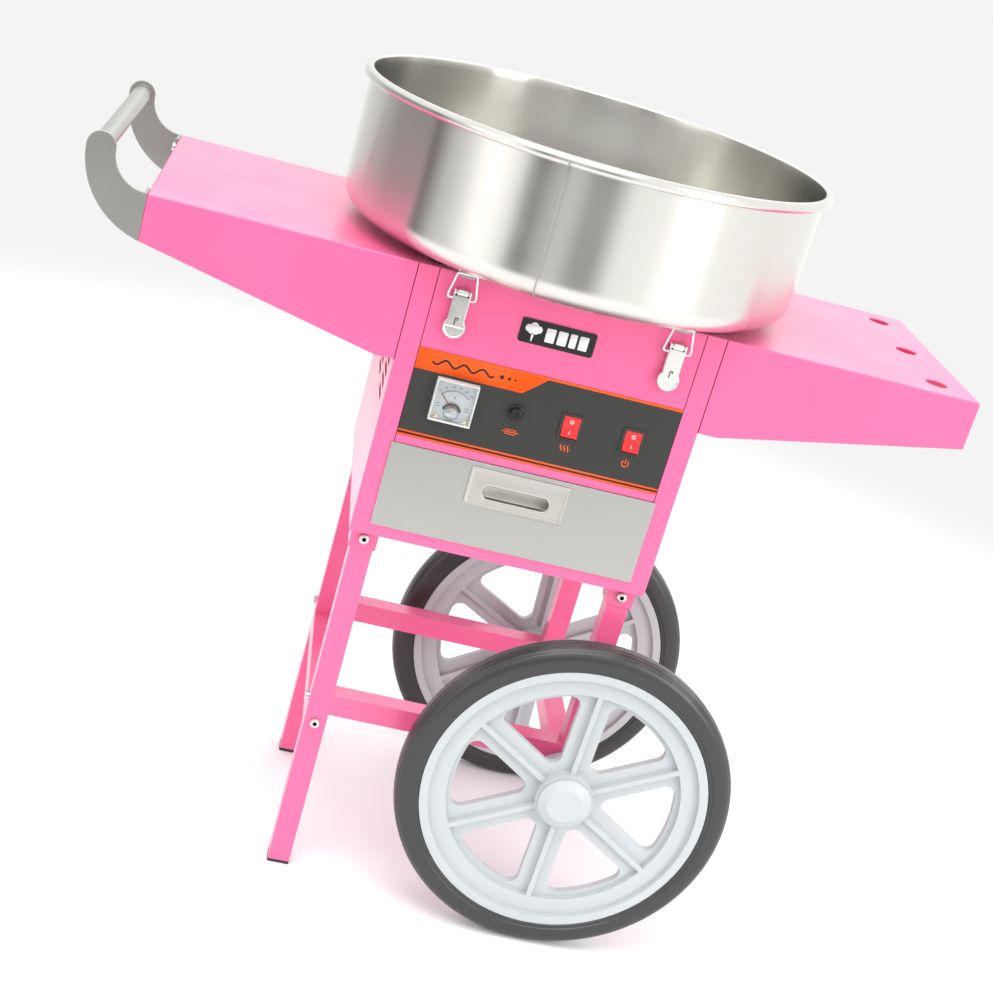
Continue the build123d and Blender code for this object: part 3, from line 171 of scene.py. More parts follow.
def use_group(tree, group, **feeds):
    """Places a node group in a material with its own values."""
    node = tree.nodes.new("ShaderNodeGroup")
    node.node_tree = group
    for key, value in feeds.items():
        if isinstance(value, bpy.types.NodeSocket):
            tree.links.new(value, node.inputs[key])
        else:
            node.inputs[key].default_value = value
    return node.outputs


def math(tree, operation, *values):
    """One Math node; each value is a number or an output."""
    return add_node(tree, "ShaderNodeMath", dict(enumerate(values)), operation=operation).outputs[0]


# edge wear and sheen: where a rounded normal leaves the face's own, broken up by noise; its mask tints edges
# both as wear and as painted edge highlight
edge_wear_and_sheen, given, out = shader_group("edge_wear_and_sheen", {"Radius": 0.0008, "Breakup": 90.0},
                                      {"Mask": "Float", "Normal": "Vector"})
rounded = add_node(edge_wear_and_sheen, "ShaderNodeBevel", {"Radius": given["Radius"]}, samples=4).outputs[0]
own = add_node(edge_wear_and_sheen, "ShaderNodeNewGeometry").outputs["Normal"]
same = add_node(edge_wear_and_sheen, "ShaderNodeVectorMath", {0: rounded, 1: own},
                operation="DOT_PRODUCT").outputs["Value"]
place = add_node(edge_wear_and_sheen, "ShaderNodeTexCoord").outputs["Object"]
patches = add_node(edge_wear_and_sheen, "ShaderNodeTexNoise",
                   {"Vector": place, "Scale": given["Breakup"], "Detail": 3.0}).outputs[0]
edge = add_node(edge_wear_and_sheen, "ShaderNodeMapRange", {0: same, 1: 0.985, 2: 0.80, 3: 0.0, 4: 1.0}).outputs[0]
kept = add_node(edge_wear_and_sheen, "ShaderNodeMapRange", {0: patches, 1: 0.35, 2: 0.6, 3: 0.25, 4: 1.0}).outputs[0]
edge_wear_and_sheen.links.new(math(edge_wear_and_sheen, "MULTIPLY", edge, kept), out["Mask"])
edge_wear_and_sheen.links.new(rounded, out["Normal"])

# blotches: slow drift in a finish, from 0 to 1 about 0.5
blotches, given, out = shader_group("blotches", {"Scale": 6.0}, {"Value": "Float"})
place = add_node(blotches, "ShaderNodeTexCoord").outputs["Object"]
drift = add_node(blotches, "ShaderNodeTexNoise",
                 {"Vector": place, "Scale": given["Scale"], "Detail": 3.0}).outputs[0]
blotches.links.new(drift, out["Value"])

# fine grain: the small bumps of a sprayed or moulded skin
fine_grain, given, out = shader_group("fine_grain", {"Scale": 500.0}, {"Height": "Float"})
place = add_node(fine_grain, "ShaderNodeTexCoord").outputs["Object"]
bumps = add_node(fine_grain, "ShaderNodeTexNoise",
                 {"Vector": place, "Scale": given["Scale"], "Detail": 2.0}).outputs[0]
fine_grain.links.new(bumps, out["Height"])

# settled dust: more of it on what faces up, in clouds
settled_dust, given, out = shader_group("settled_dust", {"Amount": 0.3, "Scale": 14.0}, {"Mask": "Float"})
coords = add_node(settled_dust, "ShaderNodeTexCoord").outputs
facing = add_node(settled_dust, "ShaderNodeSeparateXYZ", {0: coords["Normal"]}).outputs["Z"]
level = add_node(settled_dust, "ShaderNodeMapRange", {0: facing, 1: 0.3, 2: 0.95, 3: 0.0, 4: 1.0}).outputs[0]
clouds = add_node(settled_dust, "ShaderNodeTexNoise",
                  {"Vector": coords["Object"], "Scale": given["Scale"], "Detail": 6.0}).outputs[0]
thick = add_node(settled_dust, "ShaderNodeMapRange", {0: clouds, 1: 0.42, 2: 0.72, 3: 0.0, 4: 1.0}).outputs[0]
settled_dust.links.new(math(settled_dust, "MULTIPLY", math(settled_dust, "MULTIPLY", level, thick),
                            given["Amount"]), out["Mask"])


def mix_colour(tree, factor, first, second):
    """Mixes two colours, each a value or an output."""
    return add_node(tree, "ShaderNodeMix", {0: factor, 6: first, 7: second}, data_type="RGBA").outputs[2]


def remap(tree, value, low, high):
    """Carries a value's range 0.3 to 0.7, which is where noise lies, to low to high."""
    return add_node(tree, "ShaderNodeMapRange", {0: value, 1: 0.3, 2: 0.7, 3: low, 4: high}).outputs[0]


def coated(name, colour, edge_wear_sheen_colour, roughness, peel_scale, peel_depth, dust=0.25, edge_radius=0.0008,
           **sockets):
    """Sprayed or moulded finish: colour with a slow drift, edges tinted partly as wear and partly as painted
    edge highlight, grain as bump, dust on top.
    """
    made, tree, shader = new_material(name, **sockets)
    drift = use_group(tree, blotches, Scale=5.0)["Value"]
    wear_and_sheen = use_group(tree, edge_wear_and_sheen, Radius=edge_radius, Breakup=90.0)
    dusty = use_group(tree, settled_dust, Amount=dust, Scale=14.0)["Mask"]
    deep = tuple(c * 0.93 for c in colour) + (1,)
    body = mix_colour(tree, remap(tree, drift, 0.0, 1.0), deep, tuple(colour) + (1,))
    # painted edge highlight, partly wear too: the edges are mixed towards the edge colour, paler on most
    # finishes and darker on the bezel grey
    edged = mix_colour(tree, math(tree, "MULTIPLY", wear_and_sheen["Mask"], 0.55), body, tuple(edge_wear_sheen_colour) + (1,))
    powdered = mix_colour(tree, dusty, edged, (0.86, 0.84, 0.83, 1))
    rough = math(tree, "ADD", remap(tree, drift, roughness - 0.04, roughness + 0.04),
                 math(tree, "MULTIPLY", dusty, 0.5))
    grain = use_group(tree, fine_grain, Scale=peel_scale)["Height"]
    bump = add_node(tree, "ShaderNodeBump",
                    {"Strength": 1.0, "Distance": peel_depth, "Height": grain, "Normal": wear_and_sheen["Normal"]})
    tree.links.new(powdered, shader.inputs["Base Color"])
    tree.links.new(rough, shader.inputs["Roughness"])
    tree.links.new(bump.outputs[0], shader.inputs["Normal"])
    return made


def finish(material, *names):
    """Gives the material to CAD nodes."""
    for name in names:
        nodes[name].data.materials.clear()
        nodes[name].data.materials.append(material)


pink_coat = coated("pink_coat", (0.90, 0.125, 0.305), (0.95, 0.45, 0.62), 0.30, 420.0, 0.00006, dust=0.10,
                   Coat_Weight=0.35, Coat_Roughness=0.16)
finish(pink_coat, "cabinet_frame", "front_panel", "side_panels", "back_panel", "top_plate", "left_tray",
       "right_tray", "left_legs", "right_legs", "cross_rails", "side_rails")

# ----- Brushed stainless sheet: drawer, its pull, the handle and the bowl's hook plates -------------------
# Satin stainless, ground along its length, so fine lines run one way and light smears across them.

# brush lines: noise drawn out along one axis by the Stretch vector
brush_lines, given, out = shader_group("brush_lines", {"Vector": (0.0, 0.0, 0.0), "Stretch": (1.0, 1.0, 1.0)},
                                       {"Line": "Float"})
drawn = add_node(brush_lines, "ShaderNodeVectorMath", {0: given["Vector"], 1: given["Stretch"]},
                 operation="MULTIPLY").outputs[0]
fine = add_node(brush_lines, "ShaderNodeTexNoise",
                {"Vector": drawn, "Scale": 1.0, "Detail": 5.0, "Roughness": 0.7}).outputs[0]
coarse = add_node(brush_lines, "ShaderNodeTexNoise",
                  {"Vector": drawn, "Scale": 0.3, "Detail": 2.0}).outputs[0]
brush_lines.links.new(math(brush_lines, "ADD", math(brush_lines, "MULTIPLY", fine, 0.85),
                           math(brush_lines, "MULTIPLY", coarse, 0.15)),
                      out["Line"])


def brushed(name, colour, roughness, stretch, **sockets):
    """Ground metal: roughness, shade and bump follow the brush lines; stretch is their frequency per axis."""
    made, tree, shader = new_material(name, Metallic=1.0, **sockets)
    line_depth = 0.00001
    place = add_node(tree, "ShaderNodeTexCoord").outputs["Object"]
    line = use_group(tree, brush_lines, Vector=place, Stretch=stretch)["Line"]
    drift = use_group(tree, blotches, Scale=9.0)["Value"]
    wear_and_sheen = use_group(tree, edge_wear_and_sheen, Radius=0.0005, Breakup=60.0)
    dark, light = tuple(c * 0.93 for c in colour) + (1,), tuple(min(1.0, c * 1.04) for c in colour) + (1,)
    shade = mix_colour(tree, remap(tree, line, 0.0, 1.0), dark, light)
    # painted edge highlight, partly wear too: the edges are lightened towards pale steel
    shade = mix_colour(tree, math(tree, "MULTIPLY", wear_and_sheen["Mask"], 0.5), shade, (0.9, 0.9, 0.88, 1))
    rough = math(tree, "ADD", remap(tree, line, roughness - 0.03, roughness + 0.04),
                 remap(tree, drift, -0.03, 0.03))
    bump = add_node(tree, "ShaderNodeBump",
                    {"Strength": 0.6, "Distance": line_depth, "Height": line, "Normal": wear_and_sheen["Normal"]})
    tree.links.new(shade, shader.inputs["Base Color"])
    tree.links.new(rough, shader.inputs["Roughness"])
    tree.links.new(bump.outputs[0], shader.inputs["Normal"])
    return made


satin_steel = brushed("satin_steel", (0.45, 0.45, 0.425), 0.34, (18.0, 3200.0, 3200.0))
finish(satin_steel, "drawer_front", "drawer_pull", "handle", "bowl_catches")

# ----- Plain metals: sheet inside, bolts, axle, shaft, motor ----------------------------------------------
# Galvanised sheet inside the cabinet, zinc-plated fixings, a ground shaft and an enamelled motor case.

galvanised = brushed("galvanised", (0.58, 0.59, 0.60), 0.42, (60.0, 60.0, 60.0))
finish(galvanised, "base_plate", "drawer_box", "drawer_runners", "motor_bracket")
zinc = brushed("zinc", (0.66, 0.66, 0.64), 0.30, (300.0, 300.0, 300.0))
finish(zinc, "handle_bolts", "frame_bolts", "axle", "axle_fittings")
nickel = brushed("nickel", (0.92, 0.91, 0.87), 0.20, (200.0, 200.0, 200.0))
finish(nickel, "latch_bases",
       *[f"latch_{part}_{end}_{side}" for part in ("lever", "bail") for end in ("front", "rear")
                                for side in ("left", "right")])
ground = brushed("ground", (0.60, 0.60, 0.60), 0.22, (40.0, 40.0, 3000.0))
finish(ground, "spinner_shaft")
brass = brushed("brass", (0.80, 0.58, 0.26), 0.26, (40.0, 40.0, 2600.0))
finish(brass, "slip_rings")
spun = brushed("spun", (0.74, 0.75, 0.76), 0.30, (30.0, 30.0, 2400.0))
finish(spun, "head_base", "head_cap")
pierced = brushed("pierced", (0.56, 0.56, 0.55), 0.32, (20.0, 20.0, 2400.0))
finish(pierced, "floss_band")
heated = brushed("heated", (0.30, 0.26, 0.24), 0.45, (300.0, 300.0, 300.0))
finish(heated, "heater_ring")
motor_enamel = coated("motor_enamel", (0.10, 0.11, 0.12), (0.35, 0.35, 0.36), 0.42, 600.0, 0.00008)
finish(motor_enamel, "motor")

# ----- Moulded plastics and rubber ------------------------------------------------------------------------
# Black fittings, foot caps and pads, white meter case, grey nylon wheels.

black_moulding = coated("black_moulding", (0.022, 0.022, 0.023), (0.10, 0.10, 0.10), 0.38, 900.0, 0.00005,
                        dust=0.06)
finish(black_moulding, "foot_caps", "cable_gland", "brush_holder")
glossy_black = coated("glossy_black", (0.010, 0.010, 0.010), (0.05, 0.05, 0.05), 0.10, 900.0, 0.00002,
                      dust=0.04)
finish(glossy_black, "fuse_holder", "fuse_cap")
bezel_grey = coated("bezel_grey", (0.030, 0.030, 0.029), (0.012, 0.012, 0.012), 0.45, 1100.0, 0.00004,
                    dust=0.05)
finish(bezel_grey, "switch_housings")
pad_rubber = coated("pad_rubber", (0.03, 0.03, 0.03), (0.08, 0.08, 0.08), 0.7, 1200.0, 0.0001, dust=0.1)
finish(pad_rubber, "bowl_pads")
grey_nylon = coated("grey_nylon", (0.49, 0.52, 0.53), (0.74, 0.77, 0.79), 0.42, 700.0, 0.00008, dust=0.10,
                    edge_radius=0.0012)
finish(grey_nylon, "wheel_front", "wheel_rear", "hub_cap_front", "hub_cap_rear")
white_moulding = coated("white_moulding", (0.78, 0.80, 0.80), (0.88, 0.88, 0.88), 0.25, 900.0, 0.00003,
                        dust=0.05)
finish(white_moulding, "meter_case")
badge_gloss = coated("badge_gloss", (0.012, 0.012, 0.012), (0.08, 0.08, 0.08), 0.14, 900.0, 0.00002,
                     dust=0.05)
finish(badge_gloss, "badge_plate")
label_film = coated("label_film", (0.031, 0.031, 0.029), (0.05, 0.05, 0.05), 0.45, 1400.0, 0.00003, dust=0.06,
                    Specular_IOR_Level=0.35)
finish(label_film, "control_label")
red_gloss = coated("red_gloss", (0.78, 0.018, 0.020), (0.9, 0.15, 0.12), 0.20, 900.0, 0.00002, dust=0.05)
finish(red_gloss, "rocker_heat", "rocker_power")
needle_paint = coated("needle_paint", (0.60, 0.03, 0.02), (0.7, 0.1, 0.1), 0.4, 900.0, 0.00002, dust=0.0)
finish(needle_paint, "meter_needle")
clear_cover, tree, shader = new_material("clear_cover", Base_Color=(0.97, 0.98, 0.98, 1),
                                         Transmission_Weight=1.0, IOR=1.46, Roughness=0.03)
finish(clear_cover, "meter_window")
tyre_rubber = coated("tyre_rubber", (0.032, 0.032, 0.031), (0.07, 0.07, 0.07), 0.32, 500.0, 0.00010,
                     dust=0.12)
finish(tyre_rubber, "tyre_front", "tyre_rear")

# ----- Bowl -----------------------------------------------------------------------------------------------
# One stainless sheet rolled into a ring and welded to a dished floor, with the rim curled outwards over a
# wire. The wall was ground on the roll, so its lines run round it; the upright weld shows as a thin dull
# line.


def grid(points, wrap=(False, False)):
    """Quads between neighbouring points [i, j]; wrap joins the last row or column to the first."""
    ni, nj = points.shape[:2]
    spans = ni - (not wrap[0]), nj - (not wrap[1])
    i, j = (index.ravel() for index in np.meshgrid(np.arange(spans[0]), np.arange(spans[1]), indexing="ij"))
    corners = np.stack([np.stack([i + di, j + dj], 1) for di, dj in ((0, 0), (1, 0), (1, 1), (0, 1))], 1)
    faces = (corners[..., 0] % ni) * nj + corners[..., 1] % nj
    return points.reshape(-1, 3), faces.tolist(), (corners / spans).reshape(-1, 2)


def piece(name, shapes, body, material, sharp_deg=32.0):
    """One object from several (points, faces, corner UVs) shapes, in metres, riding on a body."""
    starts = np.cumsum([0] + [len(shape[0]) for shape in shapes[:-1]])
    mesh = bpy.data.meshes.new(name)
    points = np.concatenate([shape[0] for shape in shapes]).tolist()
    faces = [[int(corner) + int(start) for corner in face]
             for start, shape in zip(starts, shapes) for face in shape[1]]
    mesh.from_pydata(points, [], faces)
    corner_uv = np.concatenate([shape[2] for shape in shapes]).ravel()
    mesh.uv_layers.new(name="UVMap").data.foreach_set("uv", corner_uv)
    mesh.shade_smooth()
    mesh.set_sharp_from_angle(angle=np.radians(sharp_deg))
    mesh.materials.append(material)
    made = bpy.data.objects.new(name, mesh)
    bpy.context.scene.collection.objects.link(made)
    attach(made, body)
    return made


def lathe(profile, centre, axis="Z", turns=96):
    """Closed profile of (radius, height) points carried round an axis.

    Each point goes to centre + height * axis + radius * (cos a, sin a) across it.
    """
    angle = np.linspace(0, 2 * np.pi, turns, endpoint=False)[:, None]
    radius, height = profile[None, :, 0] * np.ones_like(angle), profile[None, :, 1] * np.ones_like(angle)
    first, second = radius * np.cos(angle), radius * np.sin(angle)
    order = {"Z": (first, second, height), "Y": (first, height, -second)}[axis]
    return grid(np.stack(order, 2) + np.array(centre), (True, True))


def arc(centre, radius, start_deg, end_deg, count):
    """Points on an arc in the profile's plane: centre + radius * (cos, sin)."""
    turn = np.radians(np.linspace(start_deg, end_deg, count))
    return np.array(centre) + radius * np.stack([np.cos(turn), np.sin(turn)], 1)


bowl_low, bowl_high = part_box("bowl")
spin_x, spin_y = (bowl_low.x + bowl_high.x) / 2, (bowl_low.y + bowl_high.y) / 2
bead_radius, bowl_sheet, bowl_corner, collar_height = 0.0056, 0.0012, 0.026, 0.020
rim_radius = (bowl_high.x - bowl_low.x) / 2
wall_radius = rim_radius - 0.008
bead = (rim_radius - bead_radius, bowl_high.z - bead_radius)
hole_radius = 0.092
bowl_profile = np.concatenate([
    [(hole_radius, bowl_low.z + collar_height), (hole_radius, bowl_low.z + 0.004)],
    arc((hole_radius + 0.003, bowl_low.z + 0.003), 0.003, 180, 270, 5),
    arc((wall_radius - bowl_corner, bowl_low.z + bowl_corner), bowl_corner, 270, 360, 14),
    np.stack([np.full(14, wall_radius), np.linspace(bowl_low.z + bowl_corner + 0.008, bead[1] - 0.0052, 14)],
             1),
    arc(bead, bead_radius, -112, 128, 28),
    np.stack([np.full(14, wall_radius - bowl_sheet),
              np.linspace(bead[1] + 0.0035, bowl_low.z + bowl_corner + 0.008, 14)], 1),
    arc((wall_radius - bowl_corner, bowl_low.z + bowl_corner), bowl_corner - bowl_sheet, 360, 270, 14),
    arc((hole_radius + bowl_sheet + 0.0018, bowl_low.z + bowl_sheet + 0.0018), 0.0018, 270, 180, 5),
    [(hole_radius + bowl_sheet, bowl_low.z + 0.006), (hole_radius + bowl_sheet, bowl_low.z + collar_height)],
])
bowl_steel, tree, shader = new_material("bowl_steel", Metallic=1.0, Anisotropic=0.82,
                                        Anisotropic_Rotation=0.25)
coords = add_node(tree, "ShaderNodeTexCoord").outputs
round_bowl = add_node(tree, "ShaderNodeSeparateXYZ", {0: coords["UV"]}).outputs["X"]
from_axis = add_node(tree, "ShaderNodeVectorMath", {0: coords["Object"], 1: (spin_x, spin_y, 0.0)},
                     operation="SUBTRACT").outputs[0]
place = add_node(tree, "ShaderNodeSeparateXYZ", {0: from_axis}).outputs
flat = add_node(tree, "ShaderNodeVectorMath", {0: from_axis, 1: (1.0, 1.0, 0.0)},
                operation="MULTIPLY").outputs[0]
reach = add_node(tree, "ShaderNodeVectorMath", {0: flat}, operation="LENGTH").outputs["Value"]
along = add_node(tree, "ShaderNodeCombineXYZ",
                 {0: round_bowl, 1: math(tree, "ADD", place["Z"], reach)}).outputs[0]
line = use_group(tree, brush_lines, Vector=along, Stretch=(26.0, 2600.0, 1.0))["Line"]
drift = use_group(tree, blotches, Scale=7.0)["Value"]
weld_turn = 0.713
off_weld = math(tree, "ABSOLUTE", math(tree, "SUBTRACT", round_bowl, weld_turn))
weld = add_node(tree, "ShaderNodeMapRange", {0: off_weld, 1: 0.0003, 2: 0.0009, 3: 1.0, 4: 0.0}).outputs[0]
haze = add_node(tree, "ShaderNodeMapRange", {0: off_weld, 1: 0.0009, 2: 0.004, 3: 0.12, 4: 0.0}).outputs[0]
shade = mix_colour(tree, remap(tree, line, 0.0, 1.0), (0.62, 0.61, 0.57, 1), (0.67, 0.66, 0.62, 1))
shade = mix_colour(tree, math(tree, "MAXIMUM", math(tree, "MULTIPLY", weld, 0.6), haze), shade,
                   (0.30, 0.29, 0.27, 1))
rough = math(tree, "ADD", remap(tree, line, 0.20, 0.24), math(tree, "MULTIPLY", weld, 0.2))
rough = math(tree, "ADD", rough, remap(tree, drift, -0.02, 0.03))
relief = math(tree, "SUBTRACT", math(tree, "MULTIPLY", line, 0.03), weld)
bump = add_node(tree, "ShaderNodeBump", {"Strength": 0.7, "Distance": 0.00008, "Height": relief})
tree.links.new(shade, shader.inputs["Base Color"])
tree.links.new(rough, shader.inputs["Roughness"])
tree.links.new(bump.outputs[0], shader.inputs["Normal"])
round_it = add_node(tree, "ShaderNodeTangent", direction_type="UV_MAP", uv_map="UVMap")
tree.links.new(round_it.outputs[0], shader.inputs["Tangent"])
bowl_skin = piece("bowl_skin", [lathe(bowl_profile, (spin_x, spin_y, 0), turns=256)], "bowl", bowl_steel,
                  50)
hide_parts("bowl")

# ----- Tyres ----------------------------------------------------------------------------------------------
# Solid moulded rubber: a crowned tread with three fine ribs, and a step where the side meets
# the rim.

tyre_low, tyre_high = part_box("tyre_front")
tyre_radius = (tyre_high.x - tyre_low.x) / 2
wheel_x, wheel_z = (tyre_low.x + tyre_high.x) / 2, (tyre_low.z + tyre_high.z) / 2
half_tyre, seat_radius, crown = (tyre_high.y - tyre_low.y) / 2, 0.1622, 0.019
sweep_angle = np.linspace(-np.pi / 2, np.pi / 2, 61)
across_tyre = half_tyre * np.sign(np.sin(sweep_angle)) * np.abs(np.sin(sweep_angle)) ** 0.80
up_tyre = tyre_radius - crown + crown * np.abs(np.cos(sweep_angle)) ** 0.62
for groove_at, groove_deep in ((0.0056, 0.0007), (-0.0056, 0.0007), (0.0136, 0.0010), (-0.0136, 0.0010)):
    up_tyre = up_tyre - groove_deep * np.exp(-((across_tyre - groove_at) / 0.0007) ** 2)
side_in = np.array([(seat_radius + 0.0055, half_tyre - 0.0002), (seat_radius + 0.0048, half_tyre - 0.0012),
                    (seat_radius + 0.0012, half_tyre - 0.0016), (seat_radius, half_tyre - 0.003)])
tyre_profile = np.concatenate([side_in[::-1] * (1, -1), np.stack([up_tyre, across_tyre], 1), side_in])
for end in ("front", "rear"):
    low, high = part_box("tyre_" + end)
    tyre = piece("tyre_skin_" + end,
                 [lathe(tyre_profile, (wheel_x, (low.y + high.y) / 2, wheel_z), "Y", 192)],
                 end + "_wheel", tyre_rubber, 40)
    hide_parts("tyre_" + end)

# ----- Latch levers ---------------------------------------------------------------------------------------
# Pressed and nickel-plated draw latches: a channel-shaped strap with a rolled knuckle at the pin, a dished
# round thumb tip with a bright rim, and a small hooked slot for a padlock wire. The slot, the gaps in the
# knuckle and the crease under it are dark strips of painted shade.


def loft(rows):
    """Rows of closed outlines [k, n, 3] joined side to side, with a flat face over each end."""
    points, faces, uv = grid(rows, (False, True))
    rings, count = rows.shape[:2]
    near, far = list(range(count)), list(range(rings * count - 1, (rings - 1) * count - 1, -1))
    return points, faces + [near, far], np.concatenate([uv, np.zeros((2 * count, 2))])


face_out = 159.5


def on_side(points, x, turned):
    """Carries (across, out, up) in millimetres off the cabinet's face to the frame; turned is the back face."""
    sign = -1.0 if turned else 1.0
    place = np.stack([sign * points[..., 0], -sign * (face_out + points[..., 1]), points[..., 2]], -1) / 1000
    return place + np.array([x, 0, 0])


# painted shade: flat dark faces that stand in for the shadow inside slots, gaps and bolt sockets
painted_hole_shade, tree, shader = new_material("painted_hole_shade", Base_Color=(0.015, 0.014, 0.013, 1), Roughness=0.6)
lever_half, tip_radius, tip_z, crease_z, knuckle_radius = 9.0, 11.5, 681.0, 682.4, 3.4
lever_face, lever_sheet, flange_depth, dish_depth = 9.45, 1.0, 6.2, 0.9
strap_z = np.concatenate([np.linspace(717.5, 692.0, 12), np.linspace(691.2, 669.54, 52)])[:, None]
tip_half = np.sqrt(np.maximum(tip_radius ** 2 - (strap_z - tip_z) ** 2, 0))
half = np.where(strap_z > tip_z, np.maximum(lever_half, np.where(strap_z < tip_z + 7.2, tip_half, 0)),
                tip_half)
share = np.linspace(-1, 1, 37)[None, :]


def smooth(value, low, high):
    """Rises from 0 at low to 1 at high as 3t^2 - 2t^3."""
    t = np.clip((value - low) / (high - low), 0, 1)
    return t * t * (3 - 2 * t)


def lever_front(across, up):
    """How far the pressed face stands out: flat, with rolled edges, and a round dish below the crease."""
    reach = np.hypot(across, up - tip_z)
    dish = dish_depth * smooth(crease_z - up, 0.0, 0.7) * smooth(tip_radius - reach, 1.1, 1.9)
    limit = np.where(up > tip_z, np.maximum(lever_half, np.where(up < tip_z + 7.2, tip_half, 0)), tip_half)
    roll = 0.5 * (1 - smooth(limit - np.abs(across), 0.0, 0.6))
    return lever_face - dish - roll - 0.25 * smooth(up, 709.0, 717.0)


across_face = half * share
front_face = lever_front(across_face, strap_z + 0 * share)
edge_depth = lever_sheet + 0.02 + (flange_depth - lever_sheet) * smooth(strap_z, 686.0, 692.0)
turned_in = np.concatenate([half, half - 0.9, half - 0.92], 1)
edge_front = front_face[:, -1:]
in_depth = np.concatenate([edge_front - edge_depth, edge_front - edge_depth, edge_front - lever_sheet], 1)
across_back = np.concatenate([turned_in, 0 * half, -turned_in[:, ::-1]], 1)
back_face = np.concatenate([in_depth, edge_front - lever_sheet, in_depth[:, ::-1]], 1)
strap_rows = np.stack([np.concatenate([across_face, across_back], 1),
                       np.concatenate([front_face, back_face], 1),
                       np.broadcast_to(strap_z, (len(strap_z), 44))], 2)
roll = np.linspace(0, 2 * np.pi, 28, endpoint=False)
knuckle_ends = ((-5.2, 5.2), (-9.0, -7.4), (7.4, 9.0))
keyhole = np.concatenate([[(-1.0, 684.3), (-0.95, 686.6), (-0.9, 689.2)],
                          arc((0.45, 690.3), 1.35, 190, -70, 14)])


def ribbon(path, width, closed=False):
    """Flat strip along a path of (across, up) points: each point is moved half the width either way."""
    ahead = np.roll(path, -1, 0) - np.roll(path, 1, 0)
    if not closed:
        ahead[0], ahead[-1] = path[1] - path[0], path[-1] - path[-2]
    side = np.stack([-ahead[:, 1], ahead[:, 0]], 1) / np.linalg.norm(ahead, axis=1)[:, None] * width / 2
    return np.stack([path + side, path - side], 1)


skin_thickness = 0.00005


def thickened(made, thickness):
    """Gives flat faces a back, behind them."""
    shell = made.modifiers.new("thickness", "SOLIDIFY")
    shell.thickness, shell.offset = thickness, -1.0
    return made


for end, turned in (("front", False), ("rear", True)):
    for side in ("left", "right"):
        name = f"{end}_{side}"
        low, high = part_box("latch_lever_" + name)
        middle = (low.x + high.x) / 2
        shapes = [loft(on_side(strap_rows, middle, turned))]
        for start, stop in knuckle_ends:
            ends = np.array([start, start + 0.3, stop - 0.3, stop])[:, None]
            size = knuckle_radius - np.array([0.3, 0, 0, 0.3])[:, None]
            curl = np.stack([ends + 0 * roll, 6.2 + size * np.cos(roll), 718 + size * np.sin(roll)], 2)
            shapes.append(loft(on_side(curl, middle, turned)))
        lever = piece("lever_" + name, shapes, "lever_" + name, nickel)
        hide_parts("latch_lever_" + name)
        # painted shade: the padlock slot, the gaps between the knuckle's rolls and the crease under it are dark
        # strips on the face, not cuts
        slot_shade_strips = []
        for path, width in ((keyhole, 1.15), (np.array([(-7.4, 715.6), (-5.3, 714.9)]), 2.0),
                            (np.array([(5.3, 714.9), (7.4, 715.6)]), 2.0),
                            (np.array([(-5.2, 714.5), (5.2, 714.5)]), 0.45)):
            strip = ribbon(path, width)
            out = np.full(strip.shape[:2] + (1,), lever_face)
            lift = 0.06 - 0.25 * smooth(strip[..., 1:], 709.0, 717.0)
            slot_shade_strips.append(grid(on_side(np.concatenate([strip[..., :1], out + lift, strip[..., 1:]], 2), middle,
                                     turned)))
        thickened(piece("lever_slot_shade_" + name, slot_shade_strips, "lever_" + name, painted_hole_shade), skin_thickness)

# ----- Control label, badge and marks ---------------------------------------------------------------------
# A printed film behind the controls: an orange flash along the top, two orange lines at the foot, and a
# small sign under each control. The badge above it carries a plain picture of floss on a stick, and the
# rockers O and I.


def filled(outline):
    """One flat face with this closed outline of (across, up) points, anticlockwise from the front."""
    outline = np.asarray(outline, float)
    return outline, [list(range(len(outline)))]


def stripe(path, width, closed=False):
    """A ribbon as flat faces."""
    points, faces, _ = grid(np.concatenate([ribbon(np.asarray(path, float), width, closed),
                                            np.zeros((len(path), 2, 1))], 2), (closed, False))
    return points[:, :2], faces


def disc(across_at, up_at, radius, count=40):
    """Outline of a circle."""
    return arc((across_at, up_at), radius, 0, 360 * (count - 1) / count, count)


def rounded_box(width, height, corner, count=6):
    """Closed outline of a box with round corners, about its middle."""
    return np.concatenate([arc((sx * (width / 2 - corner), sz * (height / 2 - corner)), corner, start,
                               start + 90, count)
                           for sx, sz, start in ((1, 1, 0), (-1, 1, 90), (-1, -1, 180), (1, -1, 270))])


def word(text, size, across_at, up_at):
    """Numbers or a unit sign as flat faces, centred on a point."""
    letters = bpy.data.curves.new("word", "FONT")
    letters.body, letters.size, letters.resolution_u = text, size, 3
    letters.align_x = letters.align_y = "CENTER"
    holder = bpy.data.objects.new("word", letters)
    flat = bpy.data.meshes.new_from_object(holder)
    points = np.zeros(len(flat.vertices) * 3)
    flat.vertices.foreach_get("co", points)
    faces = [list(face.vertices) for face in flat.polygons]
    bpy.data.objects.remove(holder)
    bpy.data.meshes.remove(flat)
    return points.reshape(-1, 3)[:, :2] + (across_at, up_at), faces


def printed(name, shapes, out, material):
    """Ink: flat shapes in millimetres across and up, laid `out` in front of the middle and a hair thick."""
    lifted = [(np.column_stack([points[:, 0] / 1000 + spin_x, np.full(len(points), -out / 1000),
                                points[:, 1] / 1000]), faces,
               np.zeros((sum(len(face) for face in faces), 2))) for points, faces in shapes]
    return thickened(piece(name, lifted, "cart", material), skin_thickness)


